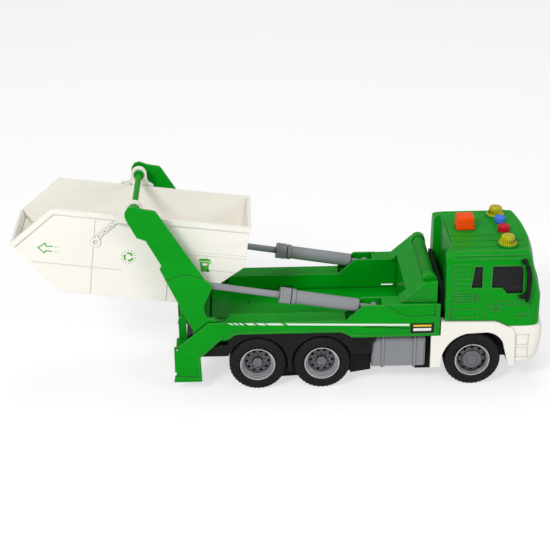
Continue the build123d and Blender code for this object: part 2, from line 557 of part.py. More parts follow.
LINER_T = 1.8
ARCH_FOOT_X = (FRONT_AXLE_X - ARCH_REACH - 1.2, FRONT_AXLE_X + ARCH_REACH + 4.5)
ARCH_FOOT_Z = TYRE_R - 6.0
FENDER = [(BED_FRONT_X - 4.6, SKIRT_Z - SEAT), (BED_FRONT_X - 4.6, ARCH_FOOT_Z),
          (ARCH_FOOT_X[1] + 5.6, ARCH_FOOT_Z),
          (ARCH_FOOT_X[1] + 4.6, CAB_LOW_Z - 6.5), (ARCH_FOOT_X[1] + 2.5, CAB_LOW_Z - 2.6),
          (NOSE_X - 29.4, CAB_LOW_Z - SEAT),
          (NOSE_X - 36.7, CAB_BASE_Z - 2.4 - SEAT), (NOSE_X - 41, CAB_BASE_Z - 1 - SEAT),
          (BED_FRONT_X + 3.8, CAB_BASE_Z - SEAT), (BED_FRONT_X + 3.8, SKIRT_Z - SEAT)]
BUMPER_LOW_Z = 24.0
# the bumper's front from its foot to the joint with the cab
BUMPER = [(BUMPER_X - 6, BUMPER_LOW_Z), (BUMPER_X - 2.8, BUMPER_LOW_Z + 4), (BUMPER_X, 45.0),
          (BUMPER_X, CAB_LOW_Z - 7),
          (BUMPER_X - 1.4, CAB_LOW_Z - 3), (NOSE_X, CAB_LOW_Z - SEAT)]
BUMPER_CORNER = 10.0
BUMPER_SIDE_Y = SIDE_Y - 1.5
BASE_WALL = 3.0
LAMP = [(28.0, 42.5), (41.0, 42.5), (46.0, 45.0), (46.0, 51.0), (28.0, 51.0)]
FOG_LAMP = [(33.0, 30.0), (45.0, 30.0), (45.0, 35.5), (33.0, 35.5)]
LAMP_DEPTH = 1.6
STEP_ROWS = [
    # steps sunk in the bumper's side: (z low, z high)
    (BUMPER_LOW_Z + 3.0, BUMPER_LOW_Z + 13.6), (BUMPER_LOW_Z + 15.6, BUMPER_LOW_Z + 26.4),
]


def bumper_solid(inset):
    """Solid of the bulging bumper with its rounded corners, shrunk by the inset."""
    shape = block(ARCH_FOOT_X[1] - 1, BUMPER_X + 10, -SIDE_Y, SIDE_Y, BUMPER_LOW_Z + inset,
                  CAB_LOW_Z - SEAT - inset)
    for low, high in zip(BUMPER, BUMPER[1:]):
        shape &= bowed_prism(low, high, BUMPER_SIDE_Y, BUMPER_CORNER, BUMPER_BOW, inset)
    return shape


def cab_base():
    """White lower cab: fenders, steps and bumper as one open shell."""
    fender = slab(FENDER, -SIDE_Y, SIDE_Y)
    inside = plan([(0, -SIDE_Y + BASE_WALL), (BUMPER_X - BUMPER_CORNER - 1, -SIDE_Y + BASE_WALL),
                   (BUMPER_X - 3.5, -SIDE_Y + BUMPER_CORNER + 3),
                   (BUMPER_X - 3.5, SIDE_Y - BUMPER_CORNER - 3),
                   (BUMPER_X - BUMPER_CORNER - 1, SIDE_Y - BASE_WALL), (0, SIDE_Y - BASE_WALL)], 0,
                   CAB_LOW_Z - SEAT - 2)
    shell = fender + bumper_solid(0) - inside
    shell -= carried(arch_face(), -SIDE_Y - 1, SIDE_Y + 1)
    shell -= block(0, CAB_REAR_X + 4, -48, 48, 0, CAB_BASE_Z + 1)
    shell -= block(CAB_REAR_X + 6, NOSE_X - 7.4, -48, 48, CAB_LOW_Z - 9, CAB_BASE_Z + 1)
    for low, high in STEP_ROWS:
        pocket = block(ARCH_FOOT_X[1] + 6.2, BUMPER_X - BUMPER_CORNER - 3, -SIDE_Y - 1, SIDE_Y + 1, low, high)
        shell -= pocket - block(0, BUMPER_X, -BUMPER_SIDE_Y + 1, BUMPER_SIDE_Y - 1, 0, CAB_BASE_Z)
    for outline in (LAMP, FOG_LAMP):
        pocket = ahead(offset(head_face(outline, 1.0), amount=SEAT, kind=Kind.ARC), BUMPER_X - 14,
                       BUMPER_X + 6)
        shell -= both(pocket - bumper_solid(LAMP_DEPTH))
    return shell


def bumper_lamp(outline):
    """Left lamp of the given outline, flush with the bumper's face."""
    return ahead(head_face(outline, 1.0), BUMPER_X - 14,
                 BUMPER_X + 6) & (bumper_solid(0) - bumper_solid(LAMP_DEPTH))


def arch_liner():
    """Right black liner inside the front wheel arch, closed towards the frame apart from the axle's hole."""
    opening = arch_face()
    outer = carried(offset(opening, amount=LINER_T, kind=Kind.INTERSECTION), -SIDE_Y + BASE_WALL + SEAT,
                    -WHEEL_OUT_Y + TYRE_W + 6)
    inner = carried(offset(opening, amount=SEAT, kind=Kind.INTERSECTION), -SIDE_Y, -WHEEL_OUT_Y + TYRE_W + 4)
    hole = cross_pin(FRONT_AXLE_X, TYRE_R, AXLE_R + 2, -SIDE_Y, 0)
    return (outer - inner - hole) & block(0, BUMPER_X, -SIDE_Y, 0, ARCH_FOOT_Z, CAB_BASE_Z)


BUTTONS = {
    # name: (x, y, radius, height)
    "button_blue": (105.8, 13.5, 5.1, 5.2),
    "button_red": (105.8, -6.5, 5.3, 5.2),
}
ORANGE_X, ORANGE_Y = 72.0, 3.8
ORANGE_L, ORANGE_W, ORANGE_H = 16.6, 15.6, 11.6
BEACON_X, BEACON_Y, BEACON_R = 105.0, 32.4, 7.0
BEACON_H = 7.6
PAD_Z = 2.3                     # pads in the middle of the roof, above its edge
BEACON_PAD_Z = 2.0
ROOF_PADS = [
    # (x, y, length, width, rise above the roof's edge)
    (ORANGE_X, ORANGE_Y, ORANGE_L + 4.4, ORANGE_W + 5.0, PAD_Z), 
    (105.8, 13.5, 13.0, 13.0, PAD_Z), (105.8, -6.5, 13.4, 13.4, PAD_Z),
    (BEACON_X, BEACON_Y, 18.6, 18.6, BEACON_PAD_Z), (BEACON_X, -BEACON_Y, 18.6, 18.6, BEACON_PAD_Z),
]


def orange_button():
    """Big fluted push button on the roof."""
    z = CAB_ROOF_Z + PAD_Z
    body = tapered(toothed_square(ORANGE_L, ORANGE_W, 0.35, 9), ORANGE_X, ORANGE_Y, z, ORANGE_H - 1.6, 0.93)
    top = Pos(ORANGE_X, ORANGE_Y, z) * extrude(RectangleRounded(ORANGE_L * 0.92, ORANGE_W * 0.92, 1.8),
                                               amount=ORANGE_H)
    return body + chamfer(top.faces().sort_by(Axis.Z)[-1].edges(), 0.8)


def round_button(name):
    """Round push button on the roof."""
    x, y, radius, height = BUTTONS[name]
    z = CAB_ROOF_Z + PAD_Z
    shape = post(x, y, z, z + height, radius)
    return fillet(shape.edges().sort_by(Axis.Z)[-1], 0.9)


def beacon(side):
    """Fluted light dome with its thin flange."""
    z = CAB_ROOF_Z + BEACON_PAD_Z
    flange = post(BEACON_X, side * BEACON_Y, z, z + 0.9, BEACON_R + 1.0)
    body = tapered(toothed_circle(BEACON_R, 0.45, 22), BEACON_X, side * BEACON_Y, z + 0.5, BEACON_H - 2.1,
                   0.84)
    cap = post(BEACON_X, side * BEACON_Y, z + BEACON_H - 2.4, z + BEACON_H, BEACON_R * 0.82)
    return flange + body + fillet(cap.edges().sort_by(Axis.Z)[-1], 1.3)


MIRROR_X = NOSE_X - 13.8
MIRROR_OUT_Y = CAB_Y + 5.0


def side_mirror():
    """Right mirror: slender curved housing held by a knob above and a bracket below the door window."""
    x = MIRROR_X
    body = slab([(x - 1.6, SILL_Z - 12.5), (x + 1.2, SILL_Z - 12), (x + 2.4, SILL_Z - 4),
                 (x + 2.9, WINDOW_TOP_Z - 10),
                 (x + 2.4, WINDOW_TOP_Z - 4.5), (x + 0.6, WINDOW_TOP_Z + 0.5), (x - 2.0, WINDOW_TOP_Z + 2.6),
                 (x - 3.4, WINDOW_TOP_Z), (x - 1.6, WINDOW_TOP_Z - 6), (x - 1.2, SILL_Z)],
                -MIRROR_OUT_Y, -CAB_Y - 1.2)
    body = fillet(body.faces().sort_by(Axis.Y)[0].edges(), 0.9)
    knob = Pos(x - 3.6, -CAB_Y + 0.9, WINDOW_TOP_Z + 4.6) * Sphere(2.6)
    neck = slab([(x - 4.2, WINDOW_TOP_Z + 4), (x - 3.0, WINDOW_TOP_Z + 6), (x + 1.5, WINDOW_TOP_Z),
                 (x - 1, WINDOW_TOP_Z - 2)],
                -MIRROR_OUT_Y + 1.5, -CAB_Y - SEAT)
    bracket = slab([(x - 7.6, SILL_Z - 9.2), (x - 7.6, SILL_Z - 6.6), (x + 1, SILL_Z - 6),
                    (x + 1, SILL_Z - 10)],
                   -MIRROR_OUT_Y + 2.5, -CAB_Y - RELIEF - SEAT)
    return body + neck + bracket + (knob - cab_solid(-SEAT))


# ---------------------------------------------------------------- chassis under the bed and cab
AXLES = {
    # name: x of the axle
    "front": FRONT_AXLE_X,
    "mid": MID_AXLE_X,
    "rear": REAR_AXLE_X,
}
TANK_X = (-15.3, BED_FRONT_X - 9)
TANK_Z = (18.0, SKIRT_Z - 3.0)
RAIL_IN_Y = 24.0
RAIL_OUT_Y = 28.0
RAIL_LOW_Z = FRAME_Z - 18.7
FRAME_FRONT_X = NOSE_X - 15.4
CASE_X = (MID_AXLE_X + 26.5, TANK_X[0] - SEAT)  # part of the gear case in front of the wheels
CASE_REAR_X = MID_AXLE_X - 43.5


def chassis_frame():
    """Black frame: rails with bearing blocks, cross plates, gear case, cab floor and the screen behind the cab."""
    rail = block(BED_REAR_X + 3, FRAME_FRONT_X, -RAIL_OUT_Y, -RAIL_IN_Y, RAIL_LOW_Z, FRAME_Z)
    for x in AXLES.values():
        rail += slab([(x - 12, RAIL_LOW_Z + 1), (x - 7, TYRE_R - 7), (x + 7, TYRE_R - 7),
                      (x + 12, RAIL_LOW_Z + 1)],
                     -RAIL_OUT_Y, -RAIL_IN_Y)
    rail += slab([(CASE_X[0], 9.5), (CASE_X[1], 12.5), (CASE_X[1], RAIL_LOW_Z + 1),
                  (CASE_X[0], RAIL_LOW_Z + 1)],
                 -WHEEL_OUT_Y + TYRE_W - 4, -RAIL_IN_Y)
    rail += block(TANK_X[1] + 2, ARCH_FOOT_X[0] - LINER_T - SEAT, -RAIL_OUT_Y - 18, -RAIL_IN_Y, 14.0, FRAME_Z)
    rail += block(TANK_X[1] - 8, ARCH_FOOT_X[0] - LINER_T - SEAT, -RAIL_OUT_Y - 17, -RAIL_IN_Y, 12.5,
                  TANK_Z[0] - 0.8 - SEAT)
    shape = both(rail)
    shape += block(BED_REAR_X + 3, CAB_REAR_X - 9, -RAIL_IN_Y - 1, RAIL_IN_Y + 1, FRAME_Z - 3.7, FRAME_Z)
    inside = WHEEL_OUT_Y - TYRE_W - 1.7
    shape += slab([(CASE_REAR_X, 3.5), (MID_AXLE_X - 19.5, 4.5), (CASE_X[0], 8.5), (CASE_X[1], 12.5),
                   (CASE_X[1], FRAME_Z - 3),
                   (CASE_REAR_X, FRAME_Z - 3)], -inside, inside)
    shape += block(BED_FRONT_X + 1, FRAME_FRONT_X, -RAIL_OUT_Y, RAIL_OUT_Y, FRAME_Z - 1, FRAME_Z + 3)
    shape += block(BED_FRONT_X + 4, CAB_REAR_X - SEAT, -INNER_Y - 4.6, INNER_Y + 4.6, CAB_BASE_Z + 0.5,
                   CAB_ROOF_Z - 37)
    shape += block(BED_FRONT_X + 1.2, CAB_REAR_X - SEAT, -RAIL_OUT_Y, RAIL_OUT_Y, FRAME_Z, CAB_BASE_Z + 1)
    tail = [(PIVOT_X - 19, FLOOR_Z - 19), (PIVOT_X - 19, FLOOR_Z - 14), (PIVOT_X - 13, FLOOR_Z - 9.5),
            (PIVOT_X - 4, FLOOR_Z - 9.5), (PIVOT_X - 4, FLOOR_Z - 11.6),
            (BED_REAR_X + 4.8, FLOOR_Z - 11.6), (BED_REAR_X + 4.8, FLOOR_Z - 19)]
    shape += slab(tail, -RAIL_OUT_Y, RAIL_OUT_Y)
    for x in AXLES.values():
        shape -= cross_pin(x, TYRE_R, AXLE_R + RUN_FIT, -SIDE_Y, SIDE_Y)
    return shape


GUARD_OUT_Y = PANEL_IN + SEAT
GUARD_IN_Y = -INNER_Y - WALL - SEAT
GUARD_CLEAR = 1.9               # guard over the tyres
GUARD_LOW_Z = RAIL_LOW_Z + 1 + SEAT
GUARD = [(PIVOT_X - 7.5, GUARD_LOW_Z), (REAR_AXLE_X - 20, GUARD_LOW_Z), (REAR_AXLE_X, TYRE_R - 8),
         (MID_AXLE_X, TYRE_R - 8),
         (CASE_X[0] - SEAT, GUARD_LOW_Z), (CASE_X[1], GUARD_LOW_Z), (CASE_X[1], FRAME_Z - 1),
         (CASE_X[0], FRAME_Z - 1), (MID_AXLE_X + 24.0, PANEL_Z - 1.2), (REAR_AXLE_X - 24.0, PANEL_Z - 1.2),
         (REAR_AXLE_X - 26.5, BRACKET_Z - SEAT), (PIVOT_X + 3, BRACKET_Z - SEAT)]
GUARD_WALL = 1.8
HOSE_R = 1.1


def mudguard():
    """Right guard over the rear wheels: outer plate with wheel openings, arch band, post and hanging hoses."""
    face = side_face(GUARD)
    shape = carried(face, GUARD_OUT_Y, GUARD_IN_Y)
    core = carried(offset(face, amount=-GUARD_WALL, kind=Kind.INTERSECTION), GUARD_OUT_Y + GUARD_WALL,
                   GUARD_IN_Y + 1)
    for x in (MID_AXLE_X, REAR_AXLE_X):
        shape -= cross_pin(x, TYRE_R, TYRE_R + GUARD_CLEAR, -SIDE_Y, 0)
        core -= cross_pin(x, TYRE_R, TYRE_R + GUARD_CLEAR + GUARD_WALL, -SIDE_Y, 0)
    shape -= core
    shape += slab(strip([(REAR_AXLE_X - 31.5, TYRE_R + 10), (REAR_AXLE_X - 31.5, PIVOT_Z - ROOT_R - 4)], 1.6),
                  GUARD_OUT_Y, GUARD_OUT_Y + 6)
    for drop in (7.4, 4.8):
        loop = ThreePointArc((MID_AXLE_X + 28, GUARD_OUT_Y, SKIRT_Z - 2),
                             (MID_AXLE_X + 38, GUARD_OUT_Y, SKIRT_Z - drop - 2),
                             (MID_AXLE_X + 48, GUARD_OUT_Y, SKIRT_Z - 2))
        shape += sweep(Plane(origin=loop @ 0, z_dir=loop % 0) * Circle(HOSE_R), path=loop)
    return shape


def drive_block():
    """Friction motor and battery box between the rails, as one plain block."""
    return block(TANK_X[0], FRONT_AXLE_X - 29, -RAIL_IN_Y + SEAT, RAIL_IN_Y - SEAT, 20.0,
                 FRAME_Z - 3.7 - SEAT)


TANK_STRAPS = (-5.6, 23.0)


def side_tank():
    """Grey tank under the right side of the bed with its two straps."""
    body = block(*TANK_X, -SIDE_Y + 5.2, -RAIL_OUT_Y - SEAT, *TANK_Z)
    body = chamfer(body.edges().filter_by(Axis.X), 3.0)
    band = block(TANK_X[0] + 1.2, TANK_X[1] - 1.2, -SIDE_Y + 5.2 - RELIEF, -SIDE_Y + 8, TANK_Z[0] + 1.5,
                 TANK_Z[1] - 4)
    shape = body + chamfer(band.edges().filter_by(Axis.X), 0.3)
    for x in TANK_STRAPS:
        strap = block(x - 1.2, x + 1.2, -SIDE_Y + 4.0, -RAIL_OUT_Y - 2, TANK_Z[0] - 0.8, TANK_Z[1] + 0.8)
        shape += chamfer(strap.edges().filter_by(Axis.X), 3.0)
    return shape


def axle_shaft(name):
    """Steel axle."""
    return cross_pin(AXLES[name], TYRE_R, AXLE_R, -WHEEL_OUT_Y + 6, WHEEL_OUT_Y - 6)


def tyre(name):
    """Right tyre."""
    y = -WHEEL_OUT_Y
    w = TYRE_W
    shoulder = [(y, RIM_R + 1.6), (y, TYRE_R - 4.6), (y + 0.8, TYRE_R - 1.6), (y + 2.6, TYRE_R)]
    far_side = [(2 * y + w - a, r) for a, r in reversed(shoulder)]
    profile = [(y + 1.2, RIM_R)] + shoulder + far_side + [(y + w - 1.2, RIM_R)]
    return turned(profile, AXLES[name], TYRE_R)


HUB_R = RIM_R - 0.2
HOLES = 10
DISH = 7.8                      # the rear hubs' discs lie this far in
CAP_R = 4.2


def ring_of(count, turn, radius, pin_r, y0, y1):
    """Round pins along Y on a circle about the axle, the first one turned by a share of their spacing."""
    shape = []
    for i in range(count):
        angle = 2 * math.pi * (i + turn) / count
        shape.append(cross_pin(radius * math.cos(angle), radius * math.sin(angle), pin_r, y0, y1))
    return shape


def hub(name):
    """Right hub with its ring of holes: dished at the rear axles, domed with lug bolts at the front."""
    y = -WHEEL_OUT_Y
    w = TYRE_W
    if name == "front":
        disc = [(y - 0.2, 0.0), (y - 0.2, CAP_R), (y + 0.8, CAP_R + 0.5), (y + 1.0, 8.4), (y + 3.0, 9.2),
                (y + 4.4, 13.0),
                (y + 3.0, 13.4), (y + 3.0, 13.8), (y + 1.6, 14.2), (y + 1.6, 14.6)]
        face, back = y + 1.0, y + 6.6
    else:
        d = y + DISH
        disc = [(d - 3.7, 0.0), (d - 3.7, CAP_R), (d + 0.6, CAP_R), (d + 0.6, CAP_R + 0.9), (d, CAP_R + 0.9),
                (d, 12.0)]
        for i in range(4):
            disc += [(d - 1.5 - 1.5 * i, 12.3 + 0.7 * i), (d - 1.5 - 1.5 * i, 12.65 + 0.7 * i)]
        face, back = d, d + 2.2
    inner = y + w - 0.2
    lip = [(y + 0.4, 14.9), (y + 0.2, 15.2), (y + 0.2, HUB_R), (inner, HUB_R), (inner, 0.0)]
    shape = turned(disc + lip, 0, 0)
    shape -= turned([(back, CAP_R), (back, HUB_R - 2.0), (inner - 1.4, HUB_R - 1.4), (inner - 1.4, CAP_R)],
                    0, 0)
    front = name == "front"
    for hole in ring_of(HOLES, 0.5 if front else 0.0, 11.2 if front else 9.8, 1.45, y, back + 1):
        shape -= hole
    for bolt in ring_of(HOLES, 0.5, 6.9, 0.75, face - 0.5, face + 1):
        shape = shape + bolt if front else shape - bolt
    shape -= cross_pin(0, 0, AXLE_R, y + 5.8, 0)
    return Pos(AXLES[name], 0, TYRE_R) * shape


# ---------------------------------------------------------------- arms
# edges of the arm, from the crossbar down its rear side to the pivot and back up its front side
ARM_HEAD_REAR = [(-7.3, 1.7), (-7.7, -1.5), (-6.7, -5.5), (1.7, -22.2), (9.3, -25.2), (22.0, -49.4),
                 (20.2, -52.6)]
ARM_ROOT = [(-13.0, 1.5), (-8.0, -8.0), (4.0, -8.0), (9.5, 5.0), (2.2, 10.8), (-1.1, 15.0), (-2.3, 22.0),
            (-0.8, 26.9), (4.8, 38.5),
            (5.4, 44.4), (-0.2, 48.4), (-4.3, 55.2)]
ARM_HEAD_FRONT = [(20.2, -0.2), (18.2, 2.2), (6.8, 4.4), (0.0, 7.1), (-4.5, 5.9)]
ARM_OUTLINE = moved(ARM_HEAD_REAR, BAR_X, BAR_Z) + moved(ARM_ROOT, PIVOT_X, PIVOT_Z) + moved(ARM_HEAD_FRONT,
                                                                                             BAR_X, BAR_Z)
LAYER_TOP = moved([(-77, -21), (23, -21), (23, 51), (-4.6, 50.5), (-19, 54.3), (-31, 48.6), (-77, 69)],
                  PIVOT_X, PIVOT_Z)


def lift_arm():
    """Right lifting arm: one plate, a second layer on its lower half and its pivot hole."""
    plate = slab(ARM_OUTLINE, -ARM_IN_Y - ARM_T, -ARM_IN_Y)
    plate += cross_pin(PIVOT_X, PIVOT_Z, ROOT_R, -ARM_IN_Y - ARM_T, -ARM_IN_Y)
    layer = slab(ARM_OUTLINE, -ARM_IN_Y - ARM_ROOT_T, -ARM_IN_Y) & slab(LAYER_TOP, -ARM_IN_Y - ARM_ROOT_T,
                                                                        -ARM_IN_Y)
    layer += cross_pin(PIVOT_X, PIVOT_Z, ROOT_R, -ARM_IN_Y - ARM_ROOT_T, -ARM_IN_Y)
    return plate + layer - cross_pin(PIVOT_X, PIVOT_Z, PIVOT_R + RUN_FIT, -SIDE_Y, 0)


def crossbar():
    """Bar between the arms' heads with a collar at each end for the skip's lugs."""
    bar = cross_pin(BAR_X, BAR_Z, BAR_R, -ARM_IN_Y, ARM_IN_Y)
    return bar + both(cross_pin(BAR_X, BAR_Z, COLLAR_R, -ARM_IN_Y, -LUG_Y + 2.0))


# ---------------------------------------------------------------- cylinders
CYL_SLOPE = math.degrees(math.atan2(EYE_Z - FOOT_Z, FOOT_X - EYE_X))
CYL_LENGTH = math.hypot(EYE_Z - FOOT_Z, FOOT_X - EYE_X)


def along_cylinder(shape):
    """Turns a cylinder drawn along -X from the foot pin into its place on the right side."""
    return Pos(FOOT_X, -CYL_Y, FOOT_Z) * Rot(0, CYL_SLOPE, 0) * shape


COLLAR_Y = BARREL_R + 1.5


def barrel():
    """Right barrel with its foot eye, banded mouth and square-shouldered collar."""
    end = -BARREL_LENGTH
    tube = long_bar(end + 13, -14.5, 0, 0, BARREL_R)
    band = long_bar(end + 10.5, end + 14, 0, 0, BARREL_R + 1.0)
    groove = long_bar(end + 8, end + 11, 0, 0, BARREL_R - 0.6)
    collar = long_bar(end, end + 9.5, 0, 0, BARREL_R + 1.2)
    collar += block(end, end + 9.5, -COLLAR_Y, COLLAR_Y, -BARREL_R + 2.4, BARREL_R - 2.4)
    seam = long_bar(end + 2.0, end + 2.6, 0, 0, BARREL_R + 1.4)
    neck = long_bar(-15, -2, 0, 0, 2.3)
    eye = Rot(90, 0, 0) * Cylinder(3.3, 8.0)
    shape = tube + band + groove + collar + seam + neck + eye
    shape -= long_bar(end - 1, -19, 0, 0, ROD_R + ROD_CLEAR)
    shape -= Rot(90, 0, 0) * Cylinder(FOOT_PIN_R + RUN_FIT, 30)
    return along_cylinder(shape)


def rod():
    """Right rod with the eye that lies beside the arm."""
    bar = long_bar(-CYL_LENGTH, -BARREL_LENGTH + 23, 0, 0, ROD_R)
    eye = Rot(90, 0, 0) * Cylinder(4.4, 6.0)
    pin = Pos(0, -0.2, 0) * Rot(90, 0, 0) * Cylinder(2.4, 7.0)
    head = Pos(-CYL_LENGTH, 0, 0) * (eye + pin)
    return along_cylinder(bar + head)


# ---------------------------------------------------------------- skip
# outlines of the skip's side, its rim band and its mouth, from the crossbar on which it hangs
SKIP_SIDE = moved([(-108.5, -35.0), (-71.9, -2.9), (99.5, -24.1), (96.9, -43.5), (94.7, -60.5), (45.0, -95.5),
                   (-70.0, -81.3)], BAR_X, BAR_Z)
SKIP_RIM = moved([(-109.8, -32.5), (-71.9, -0.7), (100.8, -22.5), (100.3, -27.5), (-70.6, -5.6),
                  (-106.9, -36.2)],
                 BAR_X, BAR_Z)
SKIP_MOUTH = moved([(-105.0, -37.5), (-71.9, -9.0), (97.0, -30.0), (102.5, 16.5), (-117.5, 16.5)], BAR_X,
                   BAR_Z)
SKIP_SEAMS = [
    # paths of the seams in the skip's side, from the crossbar
    [(-43.1, -83.6), (-34.3, -12.5)], [(-92.7, -51.1), (-14.3, -61.3)], [(57.7, -62.7), (86.0, -66.4)],
]
SKIP_BANDS = [
    # raised bands on the skip's side, from the crossbar: (path, width)
    ([(19.8, -91.0), (28.4, -22.0)], -3.6), ([(31.5, -45.2), (95.6, -53.2)], 2.6),
]
BAND_PROUD = 0.6
CHAIN_TOP = (-12.0, -10.5)      # moulded chain on the skip's side, from the crossbar
CHAIN_LOW = (-33.5, -28.5)
CHAIN_LINKS = 8


def link(length, width, height):
    """One moulded chain link lying along X on the right side of the skip."""
    bar = extrude(Plane.XZ * SlotOverall(length, width), amount=height)
    return Pos(0, -SKIP_Y + 0.3, 0) * bar


def chain():
    """Moulded chain that hangs aslant from the right lug, with the ring at its end."""
    (ax, az), (bx, bz) = CHAIN_TOP, CHAIN_LOW
    slope = -math.degrees(math.atan2(bz - az, bx - ax))
    shape = []
    for i in range(CHAIN_LINKS):
        share = (i + 0.5) / CHAIN_LINKS
        piece = link(5.6, 3.8, 1.5) - link(2.8, 1.0, 3.0) if i % 2 else link(4.8, 1.6, 2.1)
        shape.append(Pos(BAR_X + ax + (bx - ax) * share, 0, BAR_Z + az + (bz - az) * share) * Rot(0, slope,
                                                                                                  0) * piece)
    x, z = BAR_X + bx - 1.8, BAR_Z + bz - 4.6
    shape.append(cross_pin(x, z, 4.2, -SKIP_Y - 1.4, -SKIP_Y + 0.3) - cross_pin(x, z, 2.3, -SKIP_Y - 2,
                                                                                -SKIP_Y + 1))
    shape.append(block(BAR_X + ax - 2, BAR_X + ax + 4, -SKIP_Y - 2.2, -SKIP_Y + 0.3, BAR_Z + az - 2,
                       BAR_Z + az + 3))
    return shape


# lug from its eye to the flared foot on the rim, from the crossbar
LUG = [(LUG_R, 0), (LUG_R, -5.0), (8.6, -8.4), (12.7, -11.0), (12.7, -16.0), (-16.7, -12.4), (-16.7, -7.2),
       (-9.5, -6.0),
       (-7.4, -3.5), (-LUG_R, 0)]
LUG_FOOT = [(-16.7, -8.0), (12.7, -11.7), (12.7, -16.0), (-16.7, -12.4)]


def skip_body():
    """White skip: open shell with rim band, seams, moulded chains and the lugs that hang on the crossbar."""
    outer = slab(SKIP_SIDE, -SKIP_Y, SKIP_Y)
    inner = carried(offset(side_face(SKIP_SIDE), amount=-WALL, kind=Kind.INTERSECTION), -SKIP_Y + WALL,
                    SKIP_Y - WALL)
    mouth = slab(SKIP_MOUTH, -SKIP_Y + WALL, SKIP_Y - WALL)
    rim = slab(SKIP_RIM, -SKIP_Y - RIM_PROUD, SKIP_Y + RIM_PROUD)
    shape = outer - inner + rim - mouth
    for path in SKIP_SEAMS:
        seam = slab(strip(moved(path, BAR_X, BAR_Z), GROOVE), -SKIP_Y - 1, -SKIP_Y + 0.4)
        shape -= both(seam)
    for path, width in SKIP_BANDS:
        shape += both(slab(strip(moved(path, BAR_X, BAR_Z), width), -SKIP_Y - BAND_PROUD, -SKIP_Y + 0.4))
    for piece in chain():
        shape += both(piece)
    lug = slab(moved(LUG, BAR_X, BAR_Z), -LUG_Y - LUG_T, -LUG_Y) + cross_pin(BAR_X, BAR_Z, LUG_R,
                                                                             -LUG_Y - LUG_T, -LUG_Y)
    lug += slab(moved(LUG_FOOT, BAR_X, BAR_Z), -LUG_Y - 1, -SKIP_Y + 0.5)
    lug -= cross_pin(BAR_X, BAR_Z, COLLAR_R + RUN_FIT, -SIDE_Y, 0)
    return shape + both(lug)


# ---------------------------------------------------------------- whole model
def pieces():
    """Every piece by name, in the drawing frame."""
    out = {"bed_floor": bed_floor(), "headboard": headboard(), "cab_shell": cab_shell(),
           "cab_base": cab_base(),
           "cab_glazing": cab_glazing(), "grille": grille(), "chassis_frame": chassis_frame(),
           "drive_block": drive_block(), "button_orange": orange_button()}
    for name in BUTTONS:
        out[name] = round_button(name)
    out["beacon_right"] = beacon(-1)
    out["beacon_left"] = beacon(1)
    for name, outline in (("headlamp", LAMP), ("fog_lamp", FOG_LAMP)):
        out[name + "_right"] = other_side(bumper_lamp(outline))
        out[name + "_left"] = bumper_lamp(outline)
    for name, shape in (("side_box", side_box()), ("mirror", side_mirror()), ("side_tank", side_tank()),
                        ("mudguard", mudguard()), ("arch_liner", arch_liner())):
        out[name + "_right"] = shape
        out[name + "_left"] = other_side(shape)
    for name in AXLES:
        out["axle_" + name] = axle_shaft(name)
        out["tyre_" + name + "_right"] = tyre(name)
        out["hub_" + name + "_right"] = hub(name)
        out["tyre_" + name + "_left"] = other_side(tyre(name))
        out["hub_" + name + "_left"] = other_side(hub(name))
    for name, shape in (("lift_arm", lift_arm()), ("barrel", barrel()), ("rod", rod())):
        out[name + "_right"] = shape
        out[name + "_left"] = other_side(shape)
    out["crossbar"] = crossbar()
    out["skip_body"] = skip_body()
    return out


def footprint_centre(shapes):
    """Middle of the whole model along X."""
    boxes = [shape.bounding_box() for shape in shapes.values()]
    return (min(box.min.X for box in boxes) + max(box.max.X for box in boxes)) / 2


def main():
    """Writes one STEP file for each piece."""
    os.makedirs("parts", exist_ok=True)
    shapes = pieces()
    shift = footprint_centre(shapes)
    for name, shape in shapes.items():
        export_step(Pos(-shift, 0, 0) * shape, "parts/" + name + ".step")


if __name__ == "__main__":
    main()
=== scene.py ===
"""Looks of a plastic toy skip loader truck: its finishes, fine pieces, floor, light and camera.

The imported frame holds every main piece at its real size. This script dresses those pieces, adds the fine
ones that ride on them, and sets up the stage. Sizes are in millimetres on the drawing's axes: X forward from
a datum 75 mm behind the front axle, Y to the left and Z up from the ground.
"""

import logging
import math
from dataclasses import dataclass
from enum import Enum
from functools import cache
from typing import Any, Callable, Sequence

import bmesh
import bpy
import numpy as np
from mathutils import Matrix, Vector


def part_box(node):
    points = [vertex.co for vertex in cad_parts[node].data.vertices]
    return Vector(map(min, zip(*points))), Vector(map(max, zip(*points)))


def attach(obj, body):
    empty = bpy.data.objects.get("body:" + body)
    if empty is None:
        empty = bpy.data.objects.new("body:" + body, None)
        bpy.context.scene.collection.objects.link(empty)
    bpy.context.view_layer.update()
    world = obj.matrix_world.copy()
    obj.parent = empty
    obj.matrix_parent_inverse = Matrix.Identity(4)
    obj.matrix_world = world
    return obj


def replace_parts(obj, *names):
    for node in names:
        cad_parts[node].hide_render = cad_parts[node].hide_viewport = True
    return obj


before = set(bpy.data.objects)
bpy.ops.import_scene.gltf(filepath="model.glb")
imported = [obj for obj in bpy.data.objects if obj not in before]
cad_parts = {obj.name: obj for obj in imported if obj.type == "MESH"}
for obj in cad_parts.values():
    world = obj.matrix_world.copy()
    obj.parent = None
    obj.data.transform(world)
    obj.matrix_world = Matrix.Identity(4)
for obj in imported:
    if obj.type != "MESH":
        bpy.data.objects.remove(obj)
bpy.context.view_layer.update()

LOG = logging.getLogger("toy_skip_loader")
Array = np.ndarray
Colour = tuple[float, float, float]
Point = Sequence[float]
Outline = Sequence[Sequence[float]]
Operand = Any

